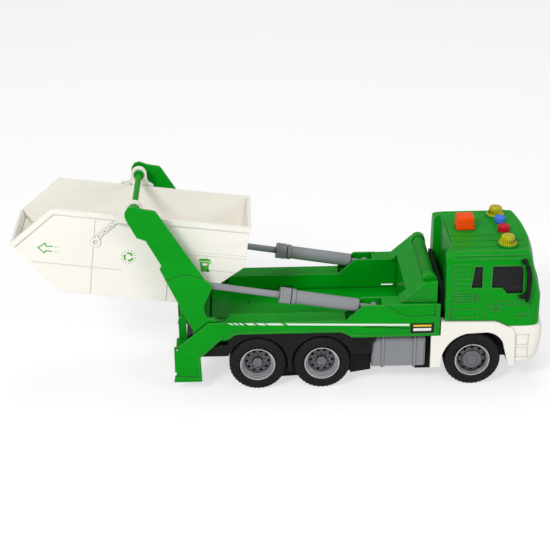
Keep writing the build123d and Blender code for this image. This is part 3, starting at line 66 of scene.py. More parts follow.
SIDES = {"right": -1, "left": 1}
MM = 0.001  # metres
WELD = 1e-7  # metres within which corners become one
FRONT_AXLE_X = 75.0
AHEAD_X = 400.0  # rays that look back start here
BELOW_Z = -50.0  # rays that look up start here
SUNK = 0.1  # how deep thin pieces reach into what carries them
SHARP = 35  # degrees from which an edge is rounded
FULL_TURN = 2 * math.pi


def datum_shift() -> float:
    """Metres from the frame's origin to the drawing's datum, read from the front axle."""
    low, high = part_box("axle_front")
    return (low[0] + high[0]) / 2 - FRONT_AXLE_X * MM


SHIFT = np.array([datum_shift(), 0.0, 0.0])


def box_mm(node: str) -> tuple[Array, ...]:
    """Low and high corner of a CAD node's box, in drawing millimetres."""
    return tuple((np.array(corner) - SHIFT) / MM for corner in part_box(node))


def both(*stems: str) -> list[str]:
    """Names of nodes that stand on both sides of the truck."""
    return [f"{stem}_{side}" for stem in stems for side in SIDES]


def srgb(red: int, green: int, blue: int) -> Colour:
    """Turns a display colour of 0 to 255 into the linear one that shaders take.

    Args:
        red: Red part.
        green: Green part.
        blue: Blue part.

    Returns:
        The linear colour.
    """
    parts = np.array([red, green, blue]) / 255.0
    linear = np.where(parts <= 0.04045, parts / 12.92, ((parts + 0.055) / 1.055) ** 2.4)
    return tuple(float(p) for p in linear)


def dimmed(colour: Colour, share: float) -> Colour:
    """The colour at a share of its light."""
    return tuple(c * share for c in colour)


# -------------------------------------------------------------------------------- shapes


@dataclass
class Shape:
    """A mesh being put together: points in drawing millimetres, and faces grouped by their corner count."""

    points: Array
    faces: list[Array]

    def __add__(self, other: "Shape") -> "Shape":
        """Joins two shapes, keeping both as they are."""
        step = len(self.points)
        return Shape(np.vstack([self.points, other.points]), self.faces + [f + step for f in other.faces])

    def on(self, side: str) -> "Shape":
        """Gives the shape, drawn for the right side, on the named side.

        Args:
            side: Side of the truck.

        Returns:
            The shape itself, or its mirror image with its faces turned to point outwards again.
        """
        if SIDES[side] < 0:
            return self
        return Shape(self.points * np.array([1.0, -1.0, 1.0]), [f[:, ::-1] for f in self.faces])

    def build(self, name: str, body: str, paint: "Paint", bevel: float = 0.0,
              smooth: float = 0.0) -> bpy.types.Object:
        """Makes the Blender object and fastens it to a body.

        Args:
            name: Name of the piece.
            body: Body that it rides on.
            paint: Its finish.
            bevel: Width of rounded edges in millimetres, or 0 for none.
            smooth: Greatest angle in degrees over which faces shade as one, or 0 for flat faces.

        Returns:
            The object.
        """
        mesh = bpy.data.meshes.new(name)
        corners = [tuple(face) for group in self.faces for face in group.tolist()]
        mesh.from_pydata((self.points * MM + SHIFT).tolist(), [], corners)
        shell = bmesh.new()
        shell.from_mesh(mesh)
        bmesh.ops.remove_doubles(shell, verts=shell.verts, dist=WELD)
        bmesh.ops.recalc_face_normals(shell, faces=shell.faces)
        shell.to_mesh(mesh)
        shell.free()
        mesh.materials.append(paint.made())
        thing = bpy.data.objects.new(name, mesh)
        bpy.context.scene.collection.objects.link(thing)
        if smooth > 0:
            mesh.shade_smooth()
            mesh.set_sharp_from_angle(angle=math.radians(smooth))
        if bevel > 0:
            rounding = thing.modifiers.new("rounded_edges", "BEVEL")
            rounding.width = bevel * MM
            rounding.segments = 2
            rounding.limit_method = "ANGLE"
            rounding.angle_limit = math.radians(SHARP)
        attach(thing, body)
        LOG.info("%s rides on %s", name, body)
        return thing


def joined(shapes: Sequence[Shape]) -> Shape:
    """Joins several shapes into one."""
    return sum(shapes[1:], shapes[0])


def turn_to(angle: Array, first: Array, second: Array) -> Array:
    """Directions at angles between two axes: cos(angle) * first + sin(angle) * second."""
    return np.cos(angle)[..., None] * first + np.sin(angle)[..., None] * second


def number(share: Array, count: int, closed: bool = False) -> Array:
    """Number of the row or column at each share from 0 to 1, of so many in a line or round a loop."""
    return np.rint(share * (count if closed else count - 1)).astype(int) % count


def surface(place: Callable[[Array, Array], Array], rows: int, columns: int, close_rows: bool = False,
            close_columns: bool = False) -> Shape:
    """A grid of four-cornered faces over a function of two parameters that each run from 0 to 1.

    Args:
        place: Takes the two parameters as arrays and returns the points, with X, Y and Z last.
        rows: Steps along the first parameter.
        columns: Steps along the second parameter.
        close_rows: Whether the first parameter runs round and meets itself.
        close_columns: Whether the second parameter runs round and meets itself.

    Returns:
        The shape.
    """
    down = rows if close_rows else rows - 1
    across = columns if close_columns else columns - 1
    u, v = np.meshgrid(np.arange(rows) / down, np.arange(columns) / across, indexing="ij")
    i, j = np.meshgrid(np.arange(down), np.arange(across), indexing="ij")
    a, b = i.ravel(), j.ravel()
    c, d = (a + 1) % rows, (b + 1) % columns
    quads = np.stack([a * columns + b, c * columns + b, c * columns + d, a * columns + d], axis=1)
    return Shape(place(u, v).reshape(-1, 3), [quads])


def plate(outline: Outline, near: float, far: float) -> Shape:
    """A flat plate: an outline in X and Z carried straight from one Y to another.

    Args:
        outline: Corners as (x, z) pairs, in order round the outline.
        near: Y of the first face.
        far: Y of the second face.

    Returns:
        The closed shape with its faces outwards.
    """
    corners = np.array(outline, dtype=float)
    x, z = corners.T
    area = np.sum(x * np.roll(z, -1) - np.roll(x, -1) * z)
    if (area > 0) != (near < far):
        corners = corners[::-1]
    count = len(corners)
    first = np.column_stack([corners[:, 0], np.full(count, near), corners[:, 1]])
    second = first + np.array([0.0, far - near, 0.0])
    ring = np.arange(count)
    after = (ring + 1) % count
    walls = np.stack([ring, ring + count, after + count, after], axis=1)
    caps = [ring[None, :], (ring[::-1] + count)[None, :]]
    return Shape(np.vstack([first, second]), [walls] + caps)


def level_plate(outline: Outline, low: float, high: float) -> Shape:
    """A flat plate: an outline in X and Y carried straight up from one Z to another.

    Args:
        outline: Corners as (x, y) pairs, in order round the outline.
        low: Z of the lower face.
        high: Z of the upper face.

    Returns:
        The closed shape.
    """
    stood = plate(outline, low, high)
    x, up, y = stood.points.T
    return Shape(np.column_stack([x, y, up]), [face[:, ::-1] for face in stood.faces])


def lathe(profile: Outline, centre: Point, along: Point, steps: int = 48) -> Shape:
    """A turned shape: a profile of (distance along the axis, radius) pairs carried once round the axis.

    Args:
        profile: The pairs, from one end to the other; an end on the axis closes the shape.
        centre: Point on the axis at distance 0.
        along: Direction of the axis.
        steps: Faces round the axis.

    Returns:
        The shape, closed where the profile starts and ends on the axis.
    """
    way = Vector(along).normalized()
    across = way.orthogonal().normalized()
    axis, first, second = (np.array(v) for v in (way, across, way.cross(across)))
    line, radius = np.array(profile, dtype=float).T

    def place(u: Array, v: Array) -> Array:
        """Point at angle 2 pi u: centre + distance * axis + radius * (cos * first + sin * second).

        Args:
            u: Shares of a turn.
            v: Shares of the profile's corners.

        Returns:
            The points.
        """
        k = number(v, len(line))
        swung = turn_to(FULL_TURN * u, first, second)
        return np.array(centre) + line[k][..., None] * axis + radius[k][..., None] * swung

    return surface(place, steps, len(line), close_rows=True)


def tube(path: Array, radius: float, steps: int = 10) -> Shape:
    """A round rod carried along a path, with both ends drawn in to a point to close them.

    Args:
        path: Points along the rod's middle.
        radius: Its radius.
        steps: Faces round it.

    Returns:
        The closed shape.
    """
    way = np.gradient(path, axis=0)
    way /= np.linalg.norm(way, axis=1, keepdims=True)
    helper = np.where(np.abs(way[:, 2:3]) > 0.9, np.array([[1.0, 0.0, 0.0]]), np.array([[0.0, 0.0, 1.0]]))
    first = np.cross(way, helper)
    first /= np.linalg.norm(first, axis=1, keepdims=True)
    second = np.cross(way, first)
    rows = np.concatenate([[0], np.arange(len(path)), [len(path) - 1]])
    width = np.concatenate([[0.0], np.full(len(path), radius), [0.0]])

    def place(u: Array, v: Array) -> Array:
        """Point at angle 2 pi v on the ring at path point u, with a ring of no width at each end.

        Args:
            u: Shares of the rings along the path.
            v: Shares of a turn.

        Returns:
            The points.
        """
        ring = number(u, len(rows))
        k = rows[ring]
        return path[k] + width[ring][..., None] * turn_to(FULL_TURN * v, first[k], second[k])

    return surface(place, len(rows), steps, close_columns=True)


def lining(front: Array, back: Array) -> Shape:
    """A thin sheet between two grids of points of the same size, closed along its four edges.

    Args:
        front: Grid of points of the outer side, with X, Y and Z last.
        back: The same grid a little further in.

    Returns:
        The closed sheet.
    """
    loop = np.concatenate([front, back[::-1]])
    rows, columns = loop.shape[:2]

    def place(u: Array, v: Array) -> Array:
        """Point of the loop of rows at u and of the columns at v."""
        return loop[number(u, rows, closed=True), number(v, columns)]

    skin = surface(place, rows, columns, close_rows=True)
    i = np.arange(len(front) - 1)
    near, far = i * columns, (rows - 1 - i) * columns
    first = np.stack([near, far, far - columns, near + columns], axis=1)
    return Shape(skin.points, skin.faces + [first, first[:, ::-1] + columns - 1])


def arc(centre: Point, radius: float, angles: Sequence[float]) -> list[tuple[float, float]]:
    """Points on a circle at the given angles: centre + radius * (cos, sin)."""
    return [(centre[0] + radius * math.cos(a), centre[1] + radius * math.sin(a)) for a in angles]


def circle(centre: Point, radius: float, steps: int) -> list[tuple[float, float]]:
    """Outline of a full circle."""
    return arc(centre, radius, np.linspace(0, FULL_TURN, steps, endpoint=False))


def rounded(low: Point, high: Point, radius: float, steps: int = 5) -> list[tuple[float, float]]:
    """Outline of a box with rounded corners, each a quarter circle.

    Args:
        low: Low corner.
        high: High corner.
        radius: Radius of the corners.
        steps: Points on each corner.

    Returns:
        The outline.
    """
    (x0, z0), (x1, z1) = low, high
    middles = [(x1 - radius, z1 - radius), (x0 + radius, z1 - radius), (x0 + radius, z0 + radius),
               (x1 - radius, z0 + radius)]
    outline = []
    for middle, start in zip(middles, (0, 90, 180, 270)):
        outline += arc(middle, radius, [math.radians(start + 90 * k / (steps - 1)) for k in range(steps)])
    return outline


def shifted(at: Point, pairs: Outline) -> list[tuple[float, float]]:
    """Carries an outline to a point."""
    return [(at[0] + a, at[1] + b) for a, b in pairs]


def stroke(path: Outline, width: float) -> list[tuple[float, float]]:
    """Outline of a line of even width: each point moves half the width along the mitre of its two legs.

    Args:
        path: Points along the line.
        width: Its width.

    Returns:
        The outline.
    """
    points = np.array(path, dtype=float)
    legs = np.diff(points, axis=0)
    legs /= np.linalg.norm(legs, axis=1, keepdims=True)
    left = np.column_stack([-legs[:, 1], legs[:, 0]])
    before, after = np.vstack([left[:1], left]), np.vstack([left, left[-1:]])
    mitre = (before + after) / (1.0 + np.sum(before * after, axis=1))[:, None] * width / 2
    return [tuple(q) for q in np.vstack([points + mitre, (points - mitre)[::-1]])]


@dataclass(frozen=True)
class Skin:
    """The outer face of a CAD node, found by rays, for what lies on a curved face."""

    node: str

    def hit(self, start: Point, way: Point) -> Array:
        """First point of the node along a ray.

        Args:
            start: Where the ray starts, in drawing millimetres.
            way: Its direction.

        Returns:
            The point in drawing millimetres.
        """
        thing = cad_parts[self.node]
        shift = Vector(SHIFT)
        inside = thing.matrix_world.inverted()
        origin = inside @ (Vector(start) * MM + shift)
        found, place, _, _ = thing.ray_cast(origin, inside.to_3x3() @ Vector(way))
        if not found:
            raise ValueError(f"{self.node} has no face on the ray from {tuple(start)}")
        return np.array(thing.matrix_world @ place - shift) / MM

    def seen(self, start_x: float, way: Point, y: Array, z: Array) -> Array:
        """Points on the face that rays along X meet.

        Args:
            start_x: X where the rays start.
            way: Their direction.
            y: Y of each point.
            z: Z of each point.

        Returns:
            The points, with X, Y and Z last.
        """
        hits = [self.hit((start_x, float(a), float(b)), way) for a, b in zip(y.ravel(), z.ravel())]
        return np.array(hits).reshape(*y.shape, 3)

    def front(self, y: Array, z: Array, lift: float) -> Array:
        """Points a little in front of the face, seen from ahead."""
        return self.seen(AHEAD_X, (-1, 0, 0), y, z) + np.array([lift, 0.0, 0.0])

    def sheet(self, y: Point, z: Point, lift: float) -> Shape:
        """A thin sheet laid on the face seen from ahead, between two Y and two Z values."""
        across, up = np.meshgrid(np.linspace(*y, 9), np.linspace(*z, 3), indexing="ij")
        return lining(self.front(across, up, lift), self.front(across, up, -SUNK))


# -------------------------------------------------------------------------------- shader trees


class Wire:
    """A socket of a shader tree, with the arithmetic that the finishes need."""

    def __init__(self, tree: "Tree", socket: bpy.types.NodeSocket) -> None:
        """Keeps the tree and the socket."""
        self.tree = tree
        self.socket = socket

    def math(self, operation: str, *others: Operand) -> "Wire":
        """Adds a Math node with this wire as its first value."""
        return self.tree.node("ShaderNodeMath", {"operation": operation}, dict(enumerate((self,) + others)))

    def __add__(self, other: Operand) -> "Wire":
        """This value plus the other."""
        return self.math("ADD", other)

    __radd__ = __add__

    def __sub__(self, other: Operand) -> "Wire":
        """This value less the other."""
        return self.math("SUBTRACT", other)

    def __rsub__(self, other: Operand) -> "Wire":
        """The other value less this one."""
        return self.tree.node("ShaderNodeMath", {"operation": "SUBTRACT"}, {0: other, 1: self})

    def __mul__(self, other: Operand) -> "Wire":
        """This value times the other."""
        return self.math("MULTIPLY", other)

    __rmul__ = __mul__

    def __truediv__(self, other: Operand) -> "Wire":
        """This value over the other."""
        return self.math("DIVIDE", other)

    def between(self, low: float, high: float) -> "Wire":
        """Runs smoothly from 0 at the low value to 1 at the high one."""
        inputs = {"Value": self, "From Min": low, "From Max": high}
        return self.tree.node("ShaderNodeMapRange", {"interpolation_type": "SMOOTHSTEP"}, inputs)


class Tree:
    """The node tree of a new material or world."""

    def __init__(self, owner: bpy.types.Material | bpy.types.World,
                 output: str = "ShaderNodeOutputMaterial") -> None:
        """Starts an empty tree with its output node.

        Args:
            owner: The material or world.
            output: Type of the output node.
        """
        owner.use_nodes = True
        self.owner = owner
        self.nodes = owner.node_tree.nodes
        self.nodes.clear()
        self.output = self.nodes.new(output)

    def node(self, kind: str, settings: dict[str, Any] | None = None,
             inputs: dict[Any, Operand] | None = None, output: int | str = 0) -> Wire:
        """Adds a node.

        Args:
            kind: The node's type.
            settings: Properties to set first.
            inputs: Values or wires by socket name or number.
            output: Which output to return.

        Returns:
            A wire from that output.
        """
        made = self.nodes.new(kind)
        for key, value in (settings or {}).items():
            setattr(made, key, value)
        for key, value in (inputs or {}).items():
            socket = made.inputs[key]
            if isinstance(value, Wire):
                self.owner.node_tree.links.new(value.socket, socket)
            elif socket.type == "RGBA":
                socket.default_value = (*value, 1.0)
            else:
                socket.default_value = value
        return Wire(self, made.outputs[output])

    def place(self) -> Wire:
        """Object coordinates, in metres."""
        return self.node("ShaderNodeTexCoord", output="Object")

    def noise(self, scale: float, detail: float = 2.0, rough: float = 0.5,
              stretch: Point | None = None) -> Wire:
        """Cloudy noise from 0 to 1 on object coordinates.

        Args:
            scale: Clouds per metre.
            detail: Layers of finer clouds.
            rough: Strength of the finer clouds.
            stretch: Scale of each axis before the noise, or None for equal axes.

        Returns:
            The noise.
        """
        where = self.place()
        if stretch is not None:
            where = self.node("ShaderNodeMapping", None, {"Vector": where, "Scale": stretch})
        return self.node("ShaderNodeTexNoise", None, {"Vector": where, "Scale": scale, "Detail": detail,
                                                      "Roughness": rough})

    def blend(self, factor: Operand, first: Operand, second: Operand) -> Wire:
        """Mixes two colours."""
        return self.node("ShaderNodeMix", {"data_type": "RGBA"}, {0: factor, 6: first, 7: second}, output=2)

    def rounded(self, radius_mm: float) -> Wire:
        """The surface's direction with its sharp edges rounded."""
        return self.node("ShaderNodeBevel", {"samples": 6}, {"Radius": radius_mm * MM})

    def sharpness(self, rounded: Wire) -> Wire:
        """How far a rounded direction leaves the true one: 1 less their dot product, so 0 on flats.

        Args:
            rounded: The rounded direction.

        Returns:
            The share, growing along edges.
        """
        flat = self.node("ShaderNodeNewGeometry", output="Normal")
        dot = {"operation": "DOT_PRODUCT"}
        return 1.0 - self.node("ShaderNodeVectorMath", dot, {0: rounded, 1: flat}, output="Value")

    def hollow(self, reach_mm: float) -> Wire:
        """How closed in the surface is within a short reach: 0 in the open and near 1 deep in a groove."""
        inputs = {"Distance": reach_mm * MM}
        return 1.0 - self.node("ShaderNodeAmbientOcclusion", {"samples": 8}, inputs, output="AO")

    def bump(self, height: Wire, strength: float, depth_mm: float, rounded: Wire | None = None) -> Wire:
        """Turns a height into a direction.

        Args:
            height: The height, from 0 to 1.
            strength: Share of the effect.
            depth_mm: Millimetres that a height of 1 stands for.
            rounded: Direction to start from, or None for the true one.

        Returns:
            The direction.
        """
        inputs: dict[Any, Operand] = {"Height": height, "Strength": strength, "Distance": depth_mm * MM}
        if rounded is not None:
            inputs["Normal"] = rounded
        return self.node("ShaderNodeBump", None, inputs)

    def met(self) -> Wire:
        """1 for rays from the camera, straight or through clear plastic, and 0 for the others."""
        straight, through = (self.node("ShaderNodeLightPath", output=f"Is {ray} Ray")
                             for ray in ("Camera", "Transmission"))
        return straight.math("MAXIMUM", through)

    def close(self, shader: Wire) -> None:
        """Links the shader to the output."""
        self.owner.node_tree.links.new(shader.socket, self.output.inputs["Surface"])


# -------------------------------------------------------------------------------- finishes

EVEN = (0.3, 0.7)  # the middle of a noise, spread over the whole way from one tone to the other


class Grain(Enum):
    """How a moulded face is textured: the size of its grain per metre and its depth in millimetres."""

    POLISHED = (900.0, 0.004)
    SATIN = (2200.0, 0.012)
    SPARK = (3200.0, 0.03)


@dataclass(frozen=True)
class Finish:
    """What every finish has: its name, the record's material slot that it belongs to, and its main colour."""

    name: str
    slot: str
    colour: Colour

    def inputs(self, tree: Tree) -> dict[str, Operand]:
        """Works out the shader's inputs."""
        raise NotImplementedError

    def material(self) -> bpy.types.Material:
        """Builds the material.

        Returns:
            The material.
        """
        material = bpy.data.materials.new(self.name)
        tree = Tree(material)
        tree.close(tree.node("ShaderNodeBsdfPrincipled", None, self.inputs(tree)))
        return material


@dataclass(frozen=True)
class MouldedPlastic(Finish):
    """Coloured plastic from a mould: slow drift, flow lines, fine grain, dust, painted shade in grooves and a
    painted highlight along edges.
    """

    roughness: float = 0.34
    grain: Grain = Grain.SATIN
    shine: float = 0.3
    drift: float = 0.10
    rubbed: float = 0.25
    edge_mm: float = 0.35
    dust: float = 0.05
    groove_mm: float = 2.2
    groove_tone: float = 0.75
    metal: float = 0.0

    # clouds per metre, the flow lines' stretch, and the spans over which each effect grows from none to full
    CLOUDS, FLOW, SPECKS = 22.0, 14.0, 420.0
    FLOW_STRETCH = (1.0, 3.0, 9.0)
    DUST_SPAN, EDGE_SPAN, BARE_SPAN = (0.62, 0.80), (0.02, 0.22), (0.25, 0.6)
    GROOVE_SPAN, DULL_SPAN = (0.08, 0.45), (0.55, 0.8)
    DUST_TONE = srgb(190, 188, 180)
    # share of white in the painted edge highlight, share of the colour left in the painted shade, and how far
    # the drift darkens
    PALER, DARKER, DEEPER = 0.35, 0.3, 1.6
    BARE_LEAST, DULLER, DUSTIER = 0.4, 0.10, 0.08

    def tone(self, tree: Tree, drifting: Wire, specks: Wire, rounded: Wire) -> Wire:
        """Lays dust, a painted highlight along sharp edges and painted shade in grooves over the drifting
        colour.

        Args:
            tree: The material's tree.
            drifting: How far the colour has drifted, from 0 to 1.
            specks: Fine noise.
            rounded: Direction with rounded edges.

        Returns:
            The colour.
        """
        pale = tuple(c + (1.0 - c) * self.PALER for c in self.colour)
        tone = tree.blend(drifting, dimmed(self.colour, 1 - self.drift * self.DEEPER), self.colour)
        tone = tree.blend(specks.between(*self.DUST_SPAN) * self.dust, tone, self.DUST_TONE)
        # painted highlight: the colour lightens along sharp edges, broken up by specks
        edges = tree.sharpness(rounded).between(*self.EDGE_SPAN)
        bare = edges * (self.BARE_LEAST + specks.between(*self.BARE_SPAN) * (1 - self.BARE_LEAST))
        tone = tree.blend(bare * self.rubbed, tone, pale)
        # painted shade: the colour darkens where the surface is closed in, as in grooves and recesses
        grooves = tree.hollow(self.groove_mm).between(*self.GROOVE_SPAN)
        return tree.blend(grooves * self.groove_tone, tone, dimmed(self.colour, self.DARKER))

    def inputs(self, tree: Tree) -> dict[str, Operand]:
        """Works out the shader's inputs.

        Args:
            tree: The material's tree.

        Returns:
            The inputs by socket name.
        """
        rounded = tree.rounded(self.edge_mm)
        clouds = tree.noise(self.CLOUDS, 3.0)
        flow = tree.noise(self.FLOW, 4.0, 0.6, self.FLOW_STRETCH)
        specks = tree.noise(self.SPECKS, 3.0, 0.7)
        scale, depth = self.grain.value
        dull = (clouds - 0.5) * self.DULLER + specks.between(*self.DULL_SPAN) * self.DUSTIER
        return {"Base Color": self.tone(tree, (clouds * 0.6 + flow * 0.4).between(*EVEN), specks, rounded),
                "Metallic": self.metal, "IOR": 1.47, "Specular IOR Level": self.shine,
                "Roughness": self.roughness + dull,
                "Normal": tree.bump(tree.noise(scale) + flow * 0.5, 0.5, depth, rounded)}


@dataclass(frozen=True)
class Rubber(Finish):
    """Soft tyre rubber: near black, dull, with dusty shoulders and a fine moulded grain."""

    dust: Colour

    WORN, GRAIN = 160.0, 2600.0
    DUST_SPAN, DUST_SHARE = (0.45, 0.8), 0.35
    DULLNESS, GRAIN_MM = 0.62, 0.03

    def inputs(self, tree: Tree) -> dict[str, Operand]:
        """Works out the shader's inputs.

        Args:
            tree: The material's tree.

        Returns:
            The inputs by socket name.
        """
        worn, fine = tree.noise(self.WORN, 4.0, 0.65), tree.noise(self.GRAIN)
        dusty = worn.between(*self.DUST_SPAN) * self.DUST_SHARE
        return {"Base Color": tree.blend(dusty, self.colour, self.dust), "IOR": 1.5,
                "Specular IOR Level": 0.2, "Roughness": self.DULLNESS + (worn - 0.5) * 0.2,
                "Normal": tree.bump(fine + worn * 0.6, 0.6, self.GRAIN_MM, tree.rounded(0.3))}


@dataclass(frozen=True)
class ClearPlastic(Finish):
    """Clear tinted plastic of a beacon or lens: a faint swirl from the mould and, round a dome, dark bands of
    painted shade between its ribs.
    """

    clearness: float = 0.5
    roughness: float = 0.12
    dome: str = ""
    ribs: int = 0

    SWIRL = 180.0
    # shares of the dome's height over which the ribs begin and end
    RIB_FOOT, RIB_HEAD = (0.12, 0.2), (0.55, 0.65)
    RIB_EDGE, RIB_STRENGTH = (0.0, 0.4), 0.85
    DEEPER, DARKER = 0.82, 0.12

    def ribbed(self, tree: Tree) -> Wire:
        """Where the painted shade between the dome's ribs lies: the sine of the angle round the dome, within
        a band of its height.

        Args:
            tree: The material's tree.

        Returns:
            The painted shade's share, from 0 to 1.
        """
        low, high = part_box(self.dome)
        x, y, z = (tree.node("ShaderNodeSeparateXYZ", None, {0: tree.place()}, axis) for axis in range(3))
        across = y.math("ABSOLUTE") - abs(low[1] + high[1]) / 2
        angle = across.math("ARCTAN2", x - (low[0] + high[0]) / 2)
        height = (z - low[2]) / (high[2] - low[2])
        band = height.between(*self.RIB_FOOT) * (1.0 - height.between(*self.RIB_HEAD))
        return (angle * self.ribs).math("SINE").between(*self.RIB_EDGE) * band * self.RIB_STRENGTH

    def inputs(self, tree: Tree) -> dict[str, Operand]:
        """Works out the shader's inputs.

        Args:
            tree: The material's tree.

        Returns:
            The inputs by socket name.
        """
        swirl = tree.noise(self.SWIRL, 3.0, 0.6)
        tone = tree.blend(swirl.between(*EVEN), dimmed(self.colour, self.DEEPER), self.colour)
        # painted shade: dark bands between the ribs round the dome
        if self.ribs:
            tone = tree.blend(self.ribbed(tree), tone, dimmed(self.colour, self.DARKER))
        return {"Base Color": tone, "Roughness": self.roughness + swirl * 0.05, "IOR": 1.49,
                "Specular IOR Level": 0.3, "Transmission Weight": self.clearness,
                "Normal": tree.bump(swirl, 0.3, 0.05, tree.rounded(0.3))}


@dataclass(frozen=True)
class SmokedGlazing(Finish):
    """Black glossy window insert with soft streaks of handling."""

    STREAKS, STREAK_SPAN, STREAK_SHARE = 60.0, (0.4, 0.75), 0.5
    ALONG_XY = (1.0, 1.0, 3.0)
    STREAK_TONE = srgb(34, 36, 40)

    def inputs(self, tree: Tree) -> dict[str, Operand]:
        """Works out the shader's inputs.

        Args:
            tree: The material's tree.

        Returns:
            The inputs by socket name.
        """
        streak = tree.noise(self.STREAKS, 4.0, 0.6, self.ALONG_XY)
        handled = streak.between(*self.STREAK_SPAN) * self.STREAK_SHARE
        return {"Base Color": tree.blend(handled, self.colour, self.STREAK_TONE),
                "Roughness": 0.12 + streak * 0.10, "IOR": 1.5, "Specular IOR Level": 0.25,
                "Coat Weight": 0.05, "Coat Roughness": 0.03, "Normal": tree.bump(streak, 0.15, 0.05)}


@dataclass(frozen=True)
class DrawnSteel(Finish):
    """Bright drawn axle wire with lines along it."""

    LINES, ALONG_Y, DEEPER = 900.0, (1.0, 0.02, 1.0), 0.75

    def inputs(self, tree: Tree) -> dict[str, Operand]:
        """Works out the shader's inputs."""
        lines = tree.noise(self.LINES, 3.0, 0.6, self.ALONG_Y)
        return {"Base Color": tree.blend(lines, dimmed(self.colour, self.DEEPER), self.colour),
                "Metallic": 1.0, "Roughness": 0.22 + lines * 0.2, "Normal": tree.bump(lines, 0.3, 0.01)}


@dataclass(frozen=True)
class PrintedInk(Finish):
    """Printed or sticker colour on plastic: matt, slightly uneven, with pin holes down to what is under. Two
    of them are painted shadow, not print: the lines under the stripe and the speaker's holes.
    """

    under: Colour
    worn: float = 0.5

    UNEVEN, HOLES, HOLE_SPAN, DEEPER = 700.0, 1900.0, (0.72, 0.82), 0.9

    def inputs(self, tree: Tree) -> dict[str, Operand]:
        """Works out the shader's inputs.

        Args:
            tree: The material's tree.

        Returns:
            The inputs by socket name.
        """
        uneven = tree.noise(self.UNEVEN, 3.0, 0.6)
        holes = tree.noise(self.HOLES, 2.0, 0.7).between(*self.HOLE_SPAN) * self.worn
        tone = tree.blend(uneven.between(*EVEN), dimmed(self.colour, self.DEEPER), self.colour)
        return {"Base Color": tree.blend(holes, tone, self.under), "Roughness": 0.42 + uneven * 0.15,
                "IOR": 1.47, "Specular IOR Level": 0.3, "Normal": tree.bump(uneven, 0.3, 0.01)}


@dataclass(frozen=True)
class StageCard:
    """White studio card: it takes soft shadows and otherwise meets the camera as plain white."""

    name: str
    tones: tuple[Colour, Colour] = ((0.80, 0.80, 0.80), (0.82, 0.82, 0.82))
    lit: float = 0.5
    glow: float = 1.25

    def material(self) -> bpy.types.Material:
        """Builds the material.

        Returns:
            The material.
        """
        material = bpy.data.materials.new(self.name)
        tree = Tree(material)
        card = tree.node("ShaderNodeBsdfDiffuse", None, {"Color": tree.blend(tree.noise(3.0), *self.tones)})
        glow = tree.node("ShaderNodeEmission", None, {"Color": (1.0, 1.0, 1.0), "Strength": self.glow})
        tree.close(tree.node("ShaderNodeMixShader", None, {0: tree.met() * self.lit, 1: card, 2: glow}))
        return material


GREEN_TONE = srgb(0, 153, 23)
WHITE_TONE = srgb(244, 241, 232)
INK_BLACK_TONE = srgb(22, 24, 22)


class Paint(Enum):
    """The finishes of this toy, by what they are."""

    GREEN = MouldedPlastic("green_moulding", "green_plastic", GREEN_TONE, 0.30, shine=0.12, rubbed=0.8,
                           edge_mm=0.5)
    WHITE = MouldedPlastic("white_moulding", "white_plastic", WHITE_TONE, groove_tone=0.35, drift=0.03,
                           rubbed=0.1)
    GREY = MouldedPlastic("grey_moulding", "grey_plastic", srgb(140, 142, 146), 0.38, drift=0.06)
    # the hub's dish takes painted shade over a long reach and a strong painted highlight on its edges
    HUB = MouldedPlastic("hub_moulding", "hub_plastic", srgb(118, 118, 123), 0.30, groove_mm=8.0,
                         groove_tone=0.9, metal=0.4, rubbed=0.9, edge_mm=0.6, drift=0.06)
    # light grey that paints the highlights on the hubs' ridges
    RIM = MouldedPlastic("bright_rim", "hub_plastic", srgb(214, 214, 218), 0.25, Grain.POLISHED,
                         groove_tone=0.0)
    BLACK = MouldedPlastic("black_moulding", "black_plastic", srgb(20, 20, 20), 0.42, Grain.SPARK,
                           shine=0.2, rubbed=0.3, dust=0.15)
    TYRE = Rubber("soft_rubber", "tyre_rubber", srgb(22, 22, 22), srgb(46, 45, 44))
    GLAZING = SmokedGlazing("smoked_window", "dark_glazing", srgb(10, 10, 12))
    ORANGE = MouldedPlastic("orange_moulding", "orange_plastic", srgb(250, 80, 4), 0.3, Grain.POLISHED, 0.15)
    BLUE = MouldedPlastic("blue_moulding", "blue_plastic", srgb(66, 120, 225), 0.3, Grain.POLISHED, 0.2)
    RED = MouldedPlastic("red_moulding", "red_plastic", srgb(205, 16, 38), 0.3, Grain.POLISHED, 0.15)
    BEACON = ClearPlastic("clear_beacon", "beacon_plastic", srgb(206, 202, 0), 0.2, 0.1, "beacon_right", 22)
    STEEL = DrawnSteel("bright_steel", "axle_steel", srgb(196, 196, 200))
    LENS = ClearPlastic("clear_lens", "lens_plastic", srgb(230, 232, 236), 0.7)
    INK_WHITE = PrintedInk("white_ink", "white_plastic", srgb(232, 236, 230), GREEN_TONE)
    INK_GREEN = PrintedInk("green_ink", "green_plastic", srgb(70, 175, 40), WHITE_TONE)
    INK_BLACK = PrintedInk("black_ink", "black_plastic", INK_BLACK_TONE, GREEN_TONE)
    INK_YELLOW = PrintedInk("yellow_ink", "beacon_plastic", srgb(235, 205, 40), INK_BLACK_TONE)
    INK_DARK = PrintedInk("dark_ink", "black_plastic", srgb(0, 62, 6), GREEN_TONE)
    SHADOW = PrintedInk("hole_shadow", "black_plastic", srgb(8, 8, 8), srgb(14, 14, 14))
    CARD = PrintedInk("blank_card", "white_plastic", srgb(235, 235, 228), srgb(215, 215, 208))

    @cache
    def made(self) -> bpy.types.Material:
        """The finish's material, built the first time it is asked for."""
        return self.value.material()


def dress(paint: Paint, *nodes: str) -> None:
    """Gives CAD nodes their finish."""
    for slot in [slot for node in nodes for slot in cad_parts[node].material_slots]:
        slot.material = paint.made()


# -------------------------------------------------------------------------------- stage


